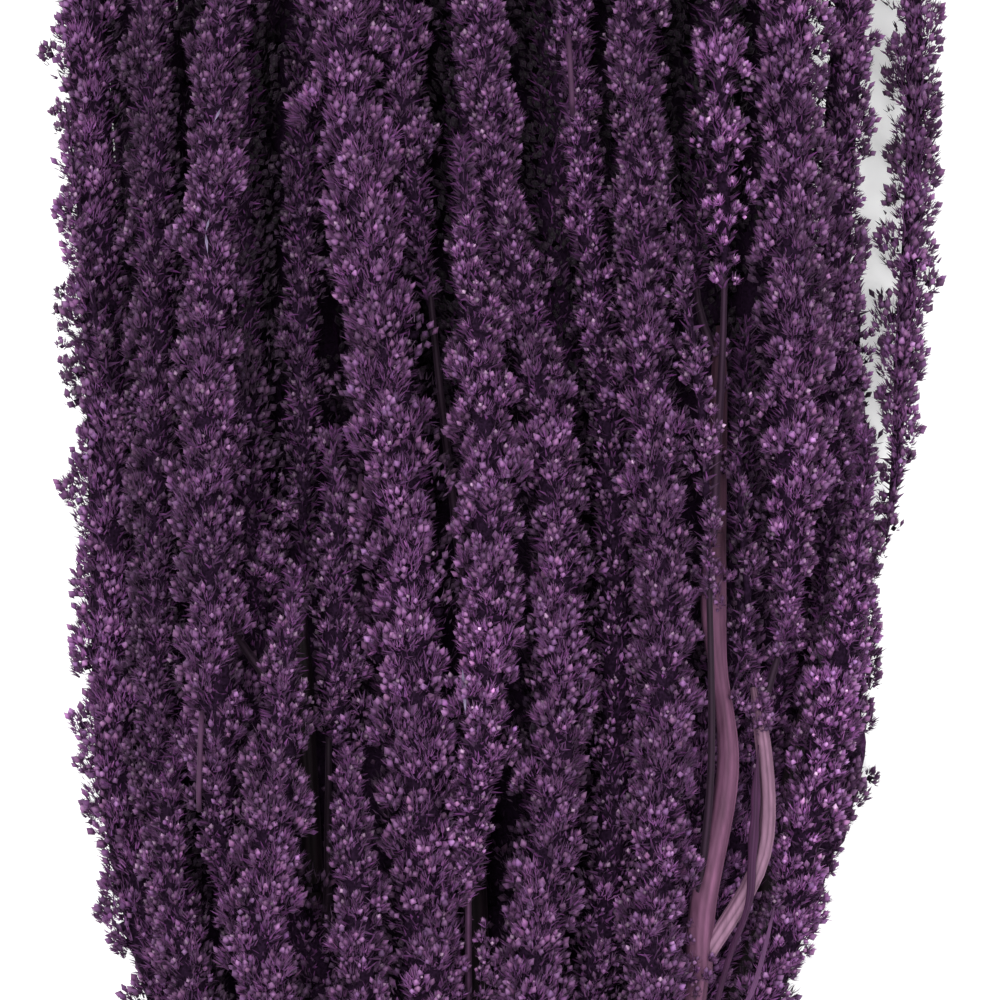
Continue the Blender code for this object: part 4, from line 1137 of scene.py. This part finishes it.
# Each leaf: how much it is rolled in, its colour, points (y, x, z) from its foot to its tip, and its half
# widths by y.
LEAVES = {
    "curled_leaf": (0.9, (0.042, 0.013, 0.04), ((-81, 34.6, 30.4), (-75, 36, 31), (-70.5, 37.4, 32.4),
        (-67, 38.8, 34.6), (-63, 39.9, 35.5), (-58.5, 40, 35), (-53.1, 40.4, 34.4), (-50, 40.7, 34.2),
        (-46.4, 40.7, 34), (-43, 40.9, 33.8), (-39, 41.2, 33.4)), ((-81, 0.45), (-66, 0.5),
        (-63.7, 0.6), (-59.2, 0.75), (-56.3, 0.6), (-53.6, 1.1), (-51.2, 0.55), (-48, 0.9),
        (-45.6, 0.75), (-42.4, 0.2), (-39, 0.1))),
    "straight_leaf": (0.35, (0.085, 0.034, 0.088), ((-98, 27.4, 31.3), (-91, 32, 33.4),
        (-85, 36.4, 34.6), (-78, 40.3, 34.8), (-70, 42.5, 34.6), (-64, 43.8, 34.2)), ((-98, 0.3),
        (-85, 0.36), (-78, 0.42), (-70, 0.36), (-64, 0.12))),
}


def leaf_piece(leaf, materials):
    """A narrow dried leaf: a thin blade, ribbed lengthwise and rolled in at its edges."""
    curl, tone, route_points, widths = LEAVES[leaf]
    ys, xs, zs = np.array(route_points, float).T
    fine = np.linspace(ys[0], ys[-1], round((ys[-1] - ys[0]) / LEAF_STEP) + 1)
    centres = eased(np.stack([np.interp(fine, ys, xs), fine, np.interp(fine, ys, zs)], axis=-1), 3)
    wide = eased(np.interp(fine, *zip(*widths)), 2)[:, None]
    ahead = unit(np.gradient(centres, axis=0))
    side = unit(np.cross(ahead, [0.0, 0.0, 1.0]))
    up = np.cross(side, ahead)[:, None]
    across = np.linspace(-1.0, 1.0, LEAF_ACROSS + 1)
    ribs = np.cos(LEAF_RIBS * math.pi * across)
    lift = (0.8 * curl * (0.45 - across ** 2) + 0.10 * ribs) * wide + 0.5 * LEAF_THICKNESS
    top = centres[:, None] + side[:, None] * (across * wide)[..., None] + up * lift[..., None]
    bottom = top - up * (LEAF_THICKNESS * (1.2 - across ** 2))[None, :, None]
    ends = np.interp(fine, [fine[0], fine[0] + 12.0, fine[-1] - 4.0, fine[-1]], [0.8, 1.0, 1.0, 0.7])
    colours = np.array(tone) * ((0.775 + 0.225 * ribs) * ends[:, None])[..., None]
    rings = np.concatenate([top[:, ::-1], bottom], axis=1)
    faces = Faces()
    shades = np.concatenate([colours[:, ::-1], 0.8 * colours], axis=1)
    add_loft(faces, rings, rings[[0, -1]].mean(axis=1), shades)
    faces.piece(f"{leaf}_blade", materials, leaf)


# Materials. Each skin has the noise's repeats a metre across and along the stem, the darkest and the
# lightest tint that the noise gives, its range of roughness, its sheen, its relief and its specular level.
FINISHES = {
    "painted_shade_cores": (2200, 2200, ((0.25, 0.25, 0.25), (1.90, 1.80, 1.90)), (0.80, 0.95), 0.0, 0.3, 0.02),
    "dried_flowers": (900, 900, ((0.72, 0.68, 0.74), (1.28, 1.22, 1.26)), (0.55, 0.85), 0.08, 0.25, 0.2),
    "dried_stem": (900, 160, ((0.72, 0.70, 0.71), (1.26, 1.24, 1.25)), (0.55, 0.80), 0.03, 0.35, 0.12),
    "dried_leaf": (1500, 120, ((0.68, 0.64, 0.69), (1.26, 1.22, 1.24)), (0.50, 0.80), 0.04, 0.35, 0.12),
}
TINT_STOPS = (0.30, 0.70)
SHEEN_TINT = (0.75, 0.45, 0.78, 1.0)
RELIEF = 0.0002


def set_inputs(tree, node, inputs):
    """Links each input that is given another node's output, and sets the rest."""
    for name, value in inputs.items():
        if isinstance(value, bpy.types.NodeSocket):
            tree.links.new(value, node.inputs[name])
        else:
            node.inputs[name].default_value = value


def add_node(tree, kind, inputs):
    node = tree.nodes.new(f"ShaderNode{kind}")
    set_inputs(tree, node, inputs)
    return node


def dried_material(name, across, along_it, spread, roughness, sheen, bump, specular):
    """A dried plant's skin: the points' own colours, mottled and streaked by noise along the stem."""
    material = bpy.data.materials.new(name)
    material.use_nodes = True
    tree = material.node_tree
    tone = add_node(tree, "Attribute", {})
    tone.attribute_type = "GEOMETRY"
    tone.attribute_name = "tone"
    place = add_node(tree, "TexCoord", {})
    mapping = add_node(tree, "Mapping", {"Scale": (across, along_it, across),
                                         "Vector": place.outputs["Object"]})
    noise = add_node(tree, "TexNoise", {"Scale": 1.0, "Detail": 4.0, "Roughness": 0.6,
                                        "Vector": mapping.outputs["Vector"]})
    ramp = add_node(tree, "ValToRGB", {"Fac": noise.outputs["Fac"]})
    for stop, position, tint in zip(ramp.color_ramp.elements, TINT_STOPS, spread):
        stop.position = position
        stop.color = (*tint, 1.0)
    mix = add_node(tree, "Mix", {})
    mix.data_type = "RGBA"
    mix.blend_type = "MULTIPLY"
    set_inputs(tree, mix, {"Factor": 1.0, "A": tone.outputs["Color"], "B": ramp.outputs["Color"]})
    rough = add_node(tree, "MapRange", {"To Min": roughness[0], "To Max": roughness[1],
                                        "Value": noise.outputs["Fac"]})
    relief = add_node(tree, "Bump", {"Strength": bump, "Distance": RELIEF, "Height": noise.outputs["Fac"]})
    set_inputs(tree, tree.nodes["Principled BSDF"], {
        "Base Color": mix.outputs["Result"], "Roughness": rough.outputs["Result"], "Sheen Weight": sheen,
        "Sheen Tint": SHEEN_TINT, "Specular IOR Level": specular, "Normal": relief.outputs["Normal"]})
    return material


def floor_material():
    material = bpy.data.materials.new("pale_floor")
    material.use_nodes = True
    set_inputs(material.node_tree, material.node_tree.nodes["Principled BSDF"], {
        "Base Color": (0.86, 0.86, 0.86, 1.0), "Roughness": 0.9, "Emission Color": (1.0, 1.0, 1.0, 1.0),
        "Emission Strength": 0.2})
    return material


# The studio.

FRAME_WIDTH = 0.160
FRAME_HEIGHT = 0.030
LENS = 180.0
SENSOR = 36.0
# Each light: its width, its power, and its place beside the middle of the head.
LIGHTS = {"key": (0.6, 12.0, (-0.22, 0.12, 1.05)), "fill": (0.8, 7.5, (0.45, -0.25, 1.0))}
LIT_HEIGHT = 0.02
SKY = 0.8
FLOOR_HALF = 3.0


def add_light(name, size, energy, place, aim):
    light = bpy.data.lights.new(name, "AREA")
    light.shape = "DISK"
    light.size = size
    light.energy = energy
    thing = bpy.data.objects.new(name, light)
    bpy.context.scene.collection.objects.link(thing)
    thing.location = place
    thing.rotation_euler = (Vector(aim) - Vector(place)).to_track_quat("-Z", "Y").to_euler()


def studio():
    """A pale floor, soft light from above, and a camera that looks straight down on the head."""
    scene = bpy.context.scene
    middle = HEAD_SHIFT * MM
    floor = bpy.data.meshes.new("floor")
    corners = [(x * FLOOR_HALF, y * FLOOR_HALF, 0.0) for x, y in ((-1, -1), (1, -1), (1, 1), (-1, 1))]
    floor.from_pydata(corners, [], [(0, 1, 2, 3)])
    floor.materials.append(floor_material())
    ground = bpy.data.objects.new("floor", floor)
    scene.collection.objects.link(ground)
    world = bpy.data.worlds.new("studio")
    world.use_nodes = True
    background = world.node_tree.nodes["Background"]
    set_inputs(world.node_tree, background, {"Color": (1.0, 1.0, 1.0, 1.0), "Strength": SKY})
    scene.world = world
    for name, (size, energy, (x, y, z)) in LIGHTS.items():
        add_light(name, size, energy, (x, middle[1] + y, z), (middle[0], middle[1], LIT_HEIGHT))
    camera = bpy.data.cameras.new("camera")
    camera.lens = LENS
    camera.sensor_width = SENSOR
    camera.clip_start = 0.01
    camera.clip_end = 20.0
    eye = bpy.data.objects.new("camera", camera)
    eye.location = (middle[0], middle[1], FRAME_HEIGHT + FRAME_WIDTH * LENS / SENSOR)
    scene.collection.objects.link(eye)
    scene.camera = eye
    scene.view_settings.view_transform = "Standard"


def main():
    """The head, piece by piece, and then its floor, lights and camera."""
    tassels = settle(all_tassels())
    skins = {name: dried_material(name, *finish) for name, finish in FINISHES.items()}
    flowers = [skins["dried_flowers"], skins["painted_shade_cores"]]
    for number in range(len(tassels)):
        tassel_piece(number, tassels, flowers)
    axil_piece(tassels, flowers)
    under_piece(tassels, flowers)
    stalk_piece(tassels, [skins["dried_stem"]])
    for leaf in LEAVES:
        leaf_piece(leaf, [skins["dried_leaf"]])
    studio()


main()
